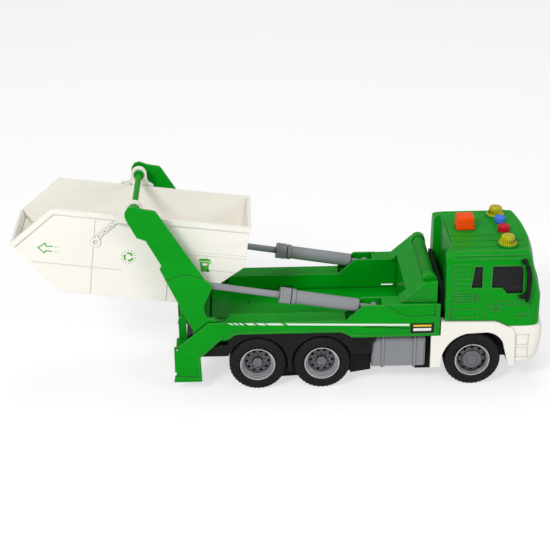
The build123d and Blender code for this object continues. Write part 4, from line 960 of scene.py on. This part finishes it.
@dataclass(frozen=True)
class SoftBox:
    """One studio lamp: where it hangs, its size in metres, its power in watts and where it points."""

    name: str
    spot: tuple[float, float, float]
    size: float
    power: float
    aim: tuple[float, float, float] = (0.0, 0.0, 0.08)

    def build(self) -> None:
        """Makes the lamp."""
        light = bpy.data.lights.new(self.name, "AREA")
        light.shape = "DISK"
        light.size = self.size
        light.energy = self.power
        thing = bpy.data.objects.new(self.name, light)
        thing.location = self.spot
        thing.rotation_euler = (Vector(self.aim) - Vector(self.spot)).to_track_quat("-Z", "Y").to_euler()
        bpy.context.scene.collection.objects.link(thing)


@dataclass
class Studio:
    """White floor card, soft lamps, world light and the camera."""

    floor_half: float = 5.0
    floor_steps: int = 9
    ambient: float = 0.42
    lamps: tuple[SoftBox, ...] = (
        SoftBox("key_lamp", (-1.0, -1.5, 1.5), 0.6, 27.0),
        SoftBox("fill_lamp", (1.5, -1.4, 1.0), 1.0, 10.0),
        SoftBox("top_lamp", (0.1, 0.6, 2.0), 1.0, 7.5),
    )
    # the camera's place in drawing millimetres, and its turns in degrees: yaw swings it right, pitch looks
    # down and roll tips the frame
    camera_at: tuple[float, float, float] = (-135.3, -1198.0, 662.6)
    yaw: float = 1.67
    pitch: float = 25.63
    roll: float = -0.5
    focal_pixels: float = 1453.95
    picture_pixels: float = 550.0
    sensor_mm: float = 36.0
    sight: float = 50.0

    def build_floor(self) -> None:
        """Makes the floor card."""
        half = self.floor_half

        def place(u: Array, v: Array) -> Array:
            """Level sheet: X and Y run from minus to plus the half size."""
            return np.stack([(u - 0.5) * 2 * half, (v - 0.5) * 2 * half, np.zeros_like(u)], axis=-1)

        card = surface(place, self.floor_steps, self.floor_steps)
        mesh = bpy.data.meshes.new("floor_card")
        mesh.from_pydata(card.points.tolist(), [], card.faces[0].tolist())
        mesh.materials.append(StageCard("floor_card").material())
        thing = bpy.data.objects.new("floor_card", mesh)
        bpy.context.scene.collection.objects.link(thing)

    def build_world(self) -> None:
        """Gives the world a soft light that meets the camera as white."""
        world = bpy.data.worlds.new("studio")
        bpy.context.scene.world = world
        tree = Tree(world, "ShaderNodeOutputWorld")
        level = {"Value": tree.met(), "To Min": self.ambient, "To Max": 1.0}
        strength = tree.node("ShaderNodeMapRange", None, level)
        tree.close(tree.node("ShaderNodeBackground", None, {"Color": (1.0, 1.0, 1.0), "Strength": strength}))

    def build_camera(self) -> None:
        """Places the camera: it looks along yaw and pitch, and roll turns it about that line."""
        yaw, pitch, roll = (math.radians(a) for a in (self.yaw, self.pitch, self.roll))
        ahead = Vector((math.sin(yaw) * math.cos(pitch), math.cos(yaw) * math.cos(pitch), -math.sin(pitch)))
        level = Vector((math.cos(yaw), -math.sin(yaw), 0.0))
        upright = level.cross(ahead)
        right = level * math.cos(roll) + upright * math.sin(roll)
        up = upright * math.cos(roll) - level * math.sin(roll)
        data = bpy.data.cameras.new("camera")
        data.sensor_width = self.sensor_mm
        data.lens = self.focal_pixels * self.sensor_mm / self.picture_pixels
        data.clip_end = self.sight
        thing = bpy.data.objects.new("camera", data)
        turn = Matrix((right, up, -ahead)).transposed().to_4x4()
        thing.matrix_world = Matrix.Translation(np.array(self.camera_at) * MM + SHIFT) @ turn
        bpy.context.scene.collection.objects.link(thing)
        bpy.context.scene.camera = thing

    def build(self) -> None:
        """Builds the whole stage."""
        self.build_floor()
        self.build_world()
        self.build_camera()
        for lamp in self.lamps:
            lamp.build()
        bpy.context.scene.view_settings.view_transform = "Standard"


# -------------------------------------------------------------------------------- the toy


@dataclass(frozen=True)
class Screw:
    """A cross-headed screw, seen from below: a low dome with a cross sunk in it."""

    radius: float = 2.1
    height: float = 0.7
    arm: float = 0.62
    reach: float = 1.35
    lip: float = 0.12
    floor: float = 0.25
    root: float = 0.3

    def shape(self, at: Point) -> Shape:
        """Builds the screw head hanging under a point.

        Args:
            at: Point of the face that the head sits on.

        Returns:
            The closed head.
        """
        rings = np.array([0.0, 0.0, self.reach, self.reach + self.lip, self.radius * 0.8, self.radius,
                          self.radius, 0.0])
        # height under the face on each ring: over the dome, and where the cross is sunk
        slope = self.height * np.array([0.92, 0.8, 0.3])
        dome = np.array([self.height, self.height, self.height * 0.9, *slope, -self.root, -self.root])
        cross = np.array([self.floor, self.floor, self.floor + 0.1, *slope, -self.root, -self.root])
        tilt = math.asin(self.arm / self.reach) / FULL_TURN
        marks = np.array([f / 4 + d for f in range(4) for d in (-tilt, -tilt * 0.8, tilt * 0.8, tilt)])
        sunk = np.tile([False, True, True, False], 4)

        def place(u: Array, v: Array) -> Array:
            """Point at angle mark u on ring v: radius * (cos, sin), under the face by the ring's height.

            Args:
                u: Shares of the marks round the head; those inside the cross take the sunk heights.
                v: Shares of the rings from the middle out and back.

            Returns:
                The points.
            """
            column, ring = number(u, len(marks), closed=True), number(v, len(rings))
            angle = -FULL_TURN * marks[column]
            r, z = rings[ring], np.where(sunk[column], cross[ring], dome[ring])
            return np.stack([at[0] + r * np.cos(angle), at[1] + r * np.sin(angle), at[2] - z], axis=-1)

        return surface(place, len(marks), len(rings), close_rows=True)


@dataclass
class RunningGear:
    """Axles, hubs with light grey rings that paint the highlights on their ridges, and tyres with a lugged
    tread between plain shoulders.
    """

    axles: tuple[str, ...] = ("front", "mid", "rear")
    lugs: int = 40
    depth: float = 0.5
    skew: float = 0.55
    hub_play: float = 0.2
    # one pitch of the tread, as shares of it, and whether the mark lies in a groove
    marks: tuple[tuple[float, bool], ...] = ((0.0, True), (0.06, False), (0.66, False), (0.74, True))
    # rings on the hubs' steps: depth from the tyre's face, radius, radius of the ring's section
    front_steps: tuple[tuple[float, float, float], ...] = ((3.0, 13.8, 0.24), (1.6, 14.6, 0.24))
    rear_steps: tuple[tuple[float, float, float], ...] = (
        (6.3, 12.6, 0.24), (4.8, 13.3, 0.24), (3.3, 14.0, 0.24), (1.8, 14.7, 0.24))
    lip_depth: float = 0.55
    lip_section: float = 0.45

    def hub_radius(self, axle: str) -> float:
        """Outer radius of an axle's hubs."""
        low, high = box_mm(f"hub_{axle}_right")
        return (high[2] - low[2]) / 2

    def profile(self, radius: float, bore: float, half: float) -> Array:
        """Half of the tyre's section from the middle of the tread to the bore.

        Args:
            radius: Outer radius.
            bore: Radius of the hole for the hub.
            half: Half of the tyre's width.

        Returns:
            Rows of distance from the middle, radius, and 1 where the tread's grooves reach.
        """
        bottom = radius - self.depth
        tread = [(0.0, bottom, 0), (0.45, bottom, 0), (0.6, radius, 1), (2.2, radius, 1)]
        # the shoulder and wall, as distance in from the wall, radius lost, and the grooves' reach
        wall = [(2.7, 0.0, 1), (1.2, 1.0, 1), (0.75, 1.7, 1), (0.35, 3.0, 0), (0.3, 3.15, 0), (0.02, 4.5, 0),
                (0.18, 4.7, 0), (0.18, 5.1, 0), (0.0, 5.3, 0)]
        # the bead round the hub, as distance in from the wall and radius over the bore
        bead = [(0.0, 2.3), (0.2, 2.15), (0.2, 1.75), (0.05, 1.6), (1.2, 0.0)]
        return np.array(tread + [(half - inset, radius - loss, cut) for inset, loss, cut in wall]
                        + [(half - inset, bore + over, 0) for inset, over in bead])

    def tyre(self, axle: str, side: str) -> None:
        """Builds one treaded tyre in place of its plain solid.

        Args:
            axle: Axle that carries it.
            side: Side of the truck.
        """
        node = f"tyre_{axle}_{side}"
        low, high = box_mm(node)
        centre, (_, half, radius) = (low + high) / 2, (high - low) / 2
        half_section = self.profile(radius, self.hub_radius(axle) + self.hub_play, half)
        section = np.vstack([half_section[::-1] * [-1, 1, 1], half_section[1:]])
        marks = np.array([(k + share, groove) for k in range(self.lugs) for share, groove in self.marks])

        def place(u: Array, v: Array) -> Array:
            """Point of section row u at mark v: the angle leans with the distance from the middle.

            Args:
                u: Shares of the section's rows.
                v: Shares of the marks round the tyre.

            Returns:
                The points: centre + radius * (cos, sin), carried across by the row's distance.
            """
            row, mark = number(u, len(section), closed=True), number(v, len(marks), closed=True)
            across, reach, cut = (section[row, column] for column in range(3))
            lean = self.skew * np.abs(across) / half
            angle = -FULL_TURN * (marks[mark, 0] + lean) / self.lugs
            r = reach - self.depth * cut * marks[mark, 1]
            return centre + np.stack([r * np.cos(angle), across, r * np.sin(angle)], axis=-1)

        shape = surface(place, len(section), len(marks), close_rows=True, close_columns=True)
        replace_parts(shape.build("treaded_" + node, "wheels_" + axle, Paint.TYRE, smooth=28), node)

    def rim_rings(self, axle: str, side: str) -> None:
        """Light grey rings of painted highlight along the steps of a hub's dish, and a broader one on its
        lip.

        Args:
            axle: Axle that carries the hub.
            side: Side of the truck.
        """
        low, high = box_mm(f"tyre_{axle}_right")
        centre = ((low[0] + high[0]) / 2, low[1], (low[2] + high[2]) / 2)
        steps = self.front_steps if axle == "front" else self.rear_steps
        lip = (self.lip_depth, self.hub_radius(axle) - self.lip_section, self.lip_section)
        turns = np.linspace(0, FULL_TURN, 9)
        rings = []
        for depth, radius, wire in (*steps, lip):
            section = np.column_stack([depth - wire * np.cos(turns), radius + wire * np.sin(turns)])
            rings.append(lathe(section, centre, (0.0, 1.0, 0.0)))
        joined(rings).on(side).build(f"rim_rings_{axle}_{side}", "wheels_" + axle, Paint.RIM, smooth=60)

    def build(self) -> None:
        """Dresses every wheel."""
        for axle in self.axles:
            dress(Paint.STEEL, "axle_" + axle)
            dress(Paint.HUB, *both("hub_" + axle))
            for side in SIDES:
                self.tyre(axle, side)
                self.rim_rings(axle, side)


@dataclass
class Chassis:
    """Frame, gear case, tanks and mudguards, with screws, a battery door and a speaker underneath."""

    # screws on both sides of the middle: node that carries them, X, distance from the middle
    screws: tuple[tuple[str, float, float], ...] = (
        ("chassis_frame", -160.0, 26.0), ("chassis_frame", -89.0, 30.0), ("chassis_frame", -30.0, 30.0),
        ("chassis_frame", 48.0, 26.0), ("chassis_frame", 102.0, 26.0))
    door_x: tuple[float, float] = (-4.0, 40.0)
    door_half: float = 18.0
    door_drop: float = 0.8
    door_round: float = 2.0
    screw_back: float = 4.0  # from the lid's end
    ribs: int = 4
    rib_start: float = 3.0
    rib_width: float = 1.0
    rib_pitch: float = 2.2
    rib_half: float = 6.0
    rib_round: float = 0.45
    rib_drops: tuple[float, float] = (1.3, 0.7)
    speaker_length: float = 14.0
    speaker_back: float = 6.0  # from the speaker's end to its middle row
    row_share: float = 0.87  # distance of the rows over that of the holes
    hole_radius: float = 0.8
    hole_pitch: float = 2.7
    hole_drop: float = 0.06
    inset: float = 0.2

    def underside(self, node: str, x: float, y: float) -> Array:
        """Point of a node seen from straight below."""
        return Skin(node).hit((x, y, BELOW_Z), (0, 0, 1))

    def battery_door(self) -> None:
        """Lid under the battery box, with grip ribs, its screw, and the speaker's holes beside it, painted as
        black discs of shade.
        """
        x0, x1 = self.door_x
        half, end = self.door_half, x1 - self.speaker_length
        z = float(self.underside("drive_block", (x0 + x1) / 2, 0.0)[2])
        edge = rounded((x0, -half), (end, half), self.door_round)
        pieces = [level_plate(edge, z - self.door_drop, z + self.inset)]
        reach, (foot, root) = self.rib_half, self.rib_drops
        for k in range(self.ribs):
            x = x0 + self.rib_start + self.rib_pitch * k
            rib = rounded((x, -reach), (x + self.rib_width, reach), self.rib_round)
            pieces.append(level_plate(rib, z - foot, z - root))
        joined(pieces).build("battery_door", "chassis", Paint.BLACK, bevel=0.2)
        screw = Screw().shape((end - self.screw_back, 0.0, z - self.door_drop))
        screw.build("battery_screw", "chassis", Paint.STEEL)
        first, pitch = x1 - self.speaker_back, self.hole_pitch
        holes = [circle((first + row * pitch * self.row_share, (k - (4 - abs(row)) / 2) * pitch),
                        self.hole_radius, 12) for row in range(-2, 3) for k in range(5 - abs(row))]
        # the speaker's holes are not cut: each is a black disc of painted shade
        dark = [level_plate(hole, z - self.hole_drop, z + self.inset) for hole in holes]
        joined(dark).build("speaker_holes", "chassis", Paint.SHADOW)

    def build(self) -> None:
        """Dresses the dark pieces under the bed."""
        dress(Paint.BLACK, "chassis_frame", "drive_block", *both("mudguard", "arch_liner"))
        dress(Paint.GREY, *both("side_tank"))
        heads = [Screw().shape(self.underside(node, x, sign * y))
                 for node, x, y in self.screws for sign in SIDES.values()]
        joined(heads).build("chassis_screws", "chassis", Paint.STEEL)
        self.battery_door()


@dataclass
class Cab:
    """Green cab on its white base, with windows, mirrors, buttons, beacons, wipers and a blank plate."""

    plate_half: float = 13.0
    plate_z: tuple[float, float] = (36.5, 43.5)
    plate_frame: float = 0.8
    plate_lifts: tuple[float, float] = (0.16, 0.3)
    wiper_y: tuple[float, ...] = (-30.0, -2.0)
    wiper_z: float = 94.0
    # an arm and a blade: start from the wiper's foot in Y and Z, span, points, lift off the glass, radius
    arm: tuple[Point, Point, int, float, float] = ((0.0, 0.0), (9.0, 8.5), 7, 0.55, 0.5)
    blade: tuple[Point, Point, int, float, float] = ((-1.0, 4.0), (23.0, 9.0), 9, 0.5, 0.7)
    boss: tuple[tuple[float, float], ...] = ((-0.2, 0.0), (-0.2, 1.5), (0.7, 1.3), (1.0, 0.9), (1.0, 0.0))
    # the mirror's dark glass: how far its outer and inner edge, foot and top lie within the housing; the top
    # is measured from the housing's foot too
    glass_insets: tuple[float, float, float, float] = (1.3, 5.0, 3.5, 22.0)
    glass_lift: float = 0.12

    def wipers(self) -> None:
        """Two wipers moulded on the windscreen: an arm up to the middle of its blade, and the blade."""
        glass = Skin("cab_glazing")
        shapes = []
        for foot in ((y, self.wiper_z) for y in self.wiper_y):
            for shift, span, steps, lift, radius in (self.arm, self.blade):
                start = [at + along for at, along in zip(foot, shift)]
                y, z = (np.linspace(at, at + length, steps) for at, length in zip(start, span))
                shapes.append(tube(glass.front(y, z, lift), radius))
            shapes.append(lathe(self.boss, glass.hit((AHEAD_X, *foot), (-1, 0, 0)), (1, 0, 0), 20))
        joined(shapes).build("wipers", "chassis", Paint.BLACK, smooth=40)

    def front_plate(self) -> None:
        """Blank number plate with a black frame on the bumper."""
        half, (low, high) = self.plate_half, self.plate_z
        pieces = (("front_plate_frame", Paint.BLACK, 0.0), ("front_plate", Paint.CARD, self.plate_frame))
        for (name, paint, edge), lift in zip(pieces, self.plate_lifts):
            sheet = Skin("cab_base").sheet((-half + edge, half - edge), (low + edge, high - edge), lift)
            sheet.build(name, "chassis", paint)

    def mirror_glass(self, side: str) -> None:
        """Dark glass on the rear face of a mirror.

        Args:
            side: Side of the truck.
        """
        low, high = box_mm("mirror_" + side)
        outer, inner, foot, top = self.glass_insets
        span = (low[1] + outer, high[1] - inner) if side == "right" else (low[1] + inner, high[1] - outer)
        y, z = np.meshgrid(np.linspace(*span, 5), np.linspace(low[2] + foot, low[2] + top, 9), indexing="ij")
        face = Skin("mirror_" + side).seen(0.0, (1, 0, 0), y, z)
        sheet = lining((face - [self.glass_lift, 0, 0])[::-1], (face + [SUNK, 0, 0])[::-1])
        sheet.build("mirror_glass_" + side, "chassis", Paint.GLAZING)

    def build(self) -> None:
        """Dresses the cab."""
        coats = {Paint.GREEN: ["cab_shell", "grille"], Paint.WHITE: ["cab_base"],
                 Paint.GLAZING: ["cab_glazing"], Paint.ORANGE: ["button_orange"],
                 Paint.BLUE: ["button_blue"], Paint.RED: ["button_red"], Paint.BLACK: both("mirror"),
                 Paint.BEACON: both("beacon"), Paint.LENS: both("headlamp", "fog_lamp")}
        for paint, nodes in coats.items():
            dress(paint, *nodes)
        for side in SIDES:
            self.mirror_glass(side)
        self.wipers()
        self.front_plate()


@dataclass(frozen=True)
class Panel:
    """A flat side that takes prints: its body, its Y on the right, and the height of one coat of ink."""

    body: str
    face_y: float
    coat: float

    def ink(self, name: str, side: str, outlines: Sequence[Outline], paint: Paint,
            coats: float = 1.0) -> None:
        """Prints outlines, each as a thin plate that reaches a little into the panel.

        Args:
            name: Name of the print.
            side: Side of the truck.
            outlines: Outlines in X and Z.
            paint: The ink.
            coats: Height of the print in coats.
        """
        prints = [plate(outline, self.face_y - self.coat * coats, self.face_y + SUNK) for outline in outlines]
        joined(prints).on(side).build(f"{name}_{side}", self.body, paint)


@dataclass
class Bed:
    """Bed with its side boxes, and the headboard; each side carries a white stripe and a blank label."""

    panel: Panel = Panel("chassis", -57.2, 0.06)
    # the stripe starts as slanted dashes: start along X, length
    dashes: tuple[tuple[float, float], ...] = (
        (-144.3, 2.3), (-139.8, 2.4), (-135.1, 2.5), (-129.2, 6.7), (-119.7, 6.7), (-111.2, 14.0),
        (-93.6, 110.7))
    stripe_front: tuple[float, float] = (17.1, 64.1)
    stripe_fall: float = 0.0292
    stripe_width: float = 2.0
    slant: float = 3.3
    label_low: tuple[float, float] = (18.0, 54.7)
    label_high: tuple[float, float] = (39.2, 64.6)
    label_round: float = 1.3
    # the bar and the field: distance in from the label's ends, then foot and head over the label's foot
    bar: tuple[float, float, float] = (2.4, 6.5, 8.2)
    field: tuple[float, float, float] = (2.6, 2.2, 4.9)
    bar_round: float = 0.4

    def stripe(self, side: str) -> None:
        """White stripe with its dashes, and the two thin lines of painted shadow under it.

        Args:
            side: Side of the truck.
        """
        front, top = self.stripe_front
        bands = []
        for start, length in self.dashes:
            end = start + length
            first, last = (top + (front - x) * self.stripe_fall for x in (start, end))
            lean = 0.0 if end >= front else self.slant
            bands.append([(start, first), (end, last), (end + lean, last - self.stripe_width),
                          (start + self.slant, first - self.stripe_width)])
        self.panel.ink("stripe", side, bands, Paint.INK_WHITE)
        # painted shadow: two dark green lines printed under the stripe
        lines = [[(-25.7, 61.7), (-19.0, 62.2), (-5.0, 62.2), (-5.6, 61.3), (-19.0, 61.2)],
                 [(-6.8, 61.2), (-2.0, 61.4), (front, 60.2), (front, 59.2), (-2.0, 60.4)]]
        self.panel.ink("shadow_lines", side, lines, Paint.INK_DARK)

    def label(self, side: str) -> None:
        """Black label with a plain yellow bar over a plain white one.

        Args:
            side: Side of the truck.
        """
        (x0, z0), (x1, _) = self.label_low, self.label_high
        whole = rounded(self.label_low, self.label_high, self.label_round)
        bar, field = (rounded((x0 + inset, z0 + foot), (x1 - inset, z0 + head), self.bar_round)
                      for inset, foot, head in (self.bar, self.field))
        self.panel.ink("label", side, [whole], Paint.INK_BLACK)
        self.panel.ink("label_bar", side, [bar], Paint.INK_YELLOW, 2.0)
        self.panel.ink("label_field", side, [field], Paint.INK_WHITE, 2.0)

    def build(self) -> None:
        """Dresses and prints the bed."""
        dress(Paint.GREEN, "bed_floor", "headboard", *both("side_box"))
        for side in SIDES:
            self.stripe(side)
            self.label(side)


@dataclass
class Lift:
    """Arms, crossbar and cylinders; each hollow rod slides over a steel guide that stands in its barrel."""

    # pins of the right cylinder in X and Z; distances run from the foot pin towards the eye
    foot: tuple[float, float] = (-14.0, 76.5)
    eye: tuple[float, float] = (-165.0, 102.4)
    side_y: float = -47.4
    rod_radius: float = 3.0
    rod_tail: float = 62.0
    bore_radius: float = 2.1
    bore_end: float = 143.5
    bore_cone: float = 1.2
    guide_radius: float = 1.7
    guide_span: tuple[float, float] = (18.0, 97.0)
    guide_tip: tuple[float, float] = (1.0, 0.8)
    # radius and half width
    eye_size: tuple[float, float] = (4.4, 3.0)
    pin_size: tuple[float, float] = (2.4, 3.5)
    pin_shift: float = -0.2
    broken_edge: float = 0.3

    def along(self, profile: Outline) -> Shape:
        """Turned shape on the right cylinder's axis, with distances from the foot pin."""
        (x0, z0), (x1, z1) = self.foot, self.eye
        return lathe(profile, (x0, self.side_y, z0), (x1 - x0, 0.0, z1 - z0), 32)

    def disc(self, size: tuple[float, float], shift: float = 0.0) -> Shape:
        """Disc across the rod's eye, with broken edges.

        Args:
            size: Its radius and half width.
            shift: How far it is moved along Y.

        Returns:
            The closed disc.
        """
        (radius, half), edge = size, self.broken_edge
        profile = [(-half, 0.0), (-half, radius - edge), (edge - half, radius), (half - edge, radius),
                   (half, radius - edge), (half, 0.0)]
        return lathe(profile, (self.eye[0], self.side_y + shift, self.eye[1]), (0.0, 1.0, 0.0), 40)

    def rod(self, side: str) -> None:
        """Hollow rod in place of its plain solid, and the guide on which it slides.

        Args:
            side: Side of the truck.
        """
        length, edge = math.dist(self.foot, self.eye), self.broken_edge
        tail, outer, bore = self.rod_tail, self.rod_radius, self.bore_radius
        bar = self.along([(self.bore_end + self.bore_cone, 0.0), (self.bore_end, bore), (tail, bore),
                          (tail, outer - edge), (tail + edge, outer), (length, outer), (length, 0.0)])
        whole = joined([bar, self.disc(self.eye_size), self.disc(self.pin_size, self.pin_shift)]).on(side)
        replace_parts(whole.build("hollow_rod_" + side, "rod_" + side, Paint.GREY, smooth=35), "rod_" + side)
        (start, end), (tip, thinner), radius = self.guide_span, self.guide_tip, self.guide_radius
        guide = self.along([(start, 0.0), (start, radius), (end - tip, radius), (end, radius - thinner),
                            (end, 0.0)])
        guide.on(side).build("cylinder_guide_" + side, "barrel_" + side, Paint.STEEL, smooth=35)

    def build(self) -> None:
        """Dresses the lifting gear."""
        dress(Paint.GREEN, "crossbar", *both("lift_arm"))
        dress(Paint.GREY, *both("barrel"))
        for side in SIDES:
            self.rod(side)


@dataclass
class Skip:
    """White waste skip with plain green signs: an outlined arrow, a ring of arrows with rays, and a bin."""

    panel: Panel = Panel("skip", -35.0, 0.07)
    arrow_tip: tuple[float, float] = (-308.6, 135.9)
    dot_half: float = 0.4
    dot_round: float = 0.3
    line: float = 1.0
    ring_at: tuple[float, float] = (-230.1, 125.1)
    ring_radius: float = 3.6
    band: float = 1.5
    # each ring arrow, in degrees: start, sweep of its shaft, and length of its head; and the head's overhang
    ring_start: float = 108.0
    shaft: float = 62.0
    head: float = 34.0
    overhang: float = 0.9
    rays: int = 14
    ray_span: tuple[float, float] = (5.4, 6.6)
    ray_width: float = 0.6
    bin_at: tuple[float, float] = (-163.4, 115.6)
    bin_wheel: float = 1.4
    handle_width: float = 0.8

    def arrow(self) -> list[Outline]:
        """Outlined arrow open at its tail, with dots trailing after it.

        Returns:
            Outlines in X and Z.
        """
        path = [(13.2, 0.9), (7.1, 1.1), (6.6, 4.1), (0.0, 0.0), (5.2, -5.2), (6.6, -3.1), (12.0, -3.9)]
        dots = shifted(self.arrow_tip, [(15.2, 0.0), (17.2, 0.0), (14.9, -4.1), (17.0, -4.1)])
        half = self.dot_half
        squares = [rounded((x - half, z - half), (x + half, z + half), self.dot_round, 4) for x, z in dots]
        return [stroke(shifted(self.arrow_tip, path), self.line)] + squares

    def ring(self) -> list[Outline]:
        """Three arrows that follow each other round a circle, with short rays outside.

        Returns:
            Outlines in X and Z.
        """
        at, middle = self.ring_at, self.ring_radius
        inner, outer = middle - self.band / 2, middle + self.band / 2
        outlines = []
        for start in (self.ring_start - 120 * k for k in range(3)):
            angles = np.radians(start - np.linspace(0, self.shaft, 9))
            neck, tip = np.radians([start - self.shaft, start - self.shaft - self.head])
            point = [arc(at, radius, [angle])[0] for radius, angle in (
                (outer + self.overhang, neck), (middle, tip), (inner - self.overhang, neck))]
            outlines.append(arc(at, outer, angles) + point + arc(at, inner, angles[::-1]))
        for k in range(self.rays):
            angle = FULL_TURN * (k + 0.5) / self.rays
            outlines.append(stroke([arc(at, radius, [angle])[0] for radius in self.ray_span], self.ray_width))
        return outlines

    def bin(self) -> list[Outline]:
        """Wheeled bin: tilted lid with a grip, handle, tapered body round a bare field, and a wheel.

        Returns:
            Outlines in X and Z.
        """
        lid = [(-5.0, 5.2), (-3.6, 6.3), (2.2, 6.3), (5.4, 4.8), (5.4, 3.6), (-4.7, 3.7)]
        handle = stroke([(4.1, 3.2), (5.4, 2.4), (5.0, 0.8)], self.handle_width)
        wheel = circle((2.8, -5.7), self.bin_wheel, 16)
        sides = [[(-4.3, 3.1), (4.1, 2.9), (3.9, 1.6), (-4.2, 1.7)],
                 [(-4.2, 1.7), (-2.2, 1.7), (-2.1, -0.5), (-4.0, -0.5)],
                 [(2.3, 1.6), (3.9, 1.6), (3.6, -0.5), (2.2, -0.5)],
                 [(-4.0, -0.5), (3.6, -0.5), (2.9, -6.4), (-3.4, -6.4)]]
        return [shifted(self.bin_at, outline) for outline in (lid, handle, wheel, *sides)]

    def build(self) -> None:
        """Dresses and prints the skip."""
        dress(Paint.WHITE, "skip_body")
        for side in SIDES:
            for name, outlines in (("arrow", self.arrow()), ("ring", self.ring()), ("bin", self.bin())):
                self.panel.ink(name + "_sign", side, outlines, Paint.INK_GREEN)


def main() -> None:
    """Builds the stage and every sub-assembly in order."""
    logging.basicConfig(level=logging.INFO, format="%(name)s: %(message)s")
    for part in (Studio(), RunningGear(), Chassis(), Cab(), Bed(), Lift(), Skip()):
        part.build()
        LOG.info("built %s", type(part).__name__)


if __name__ == "__main__":
    main()
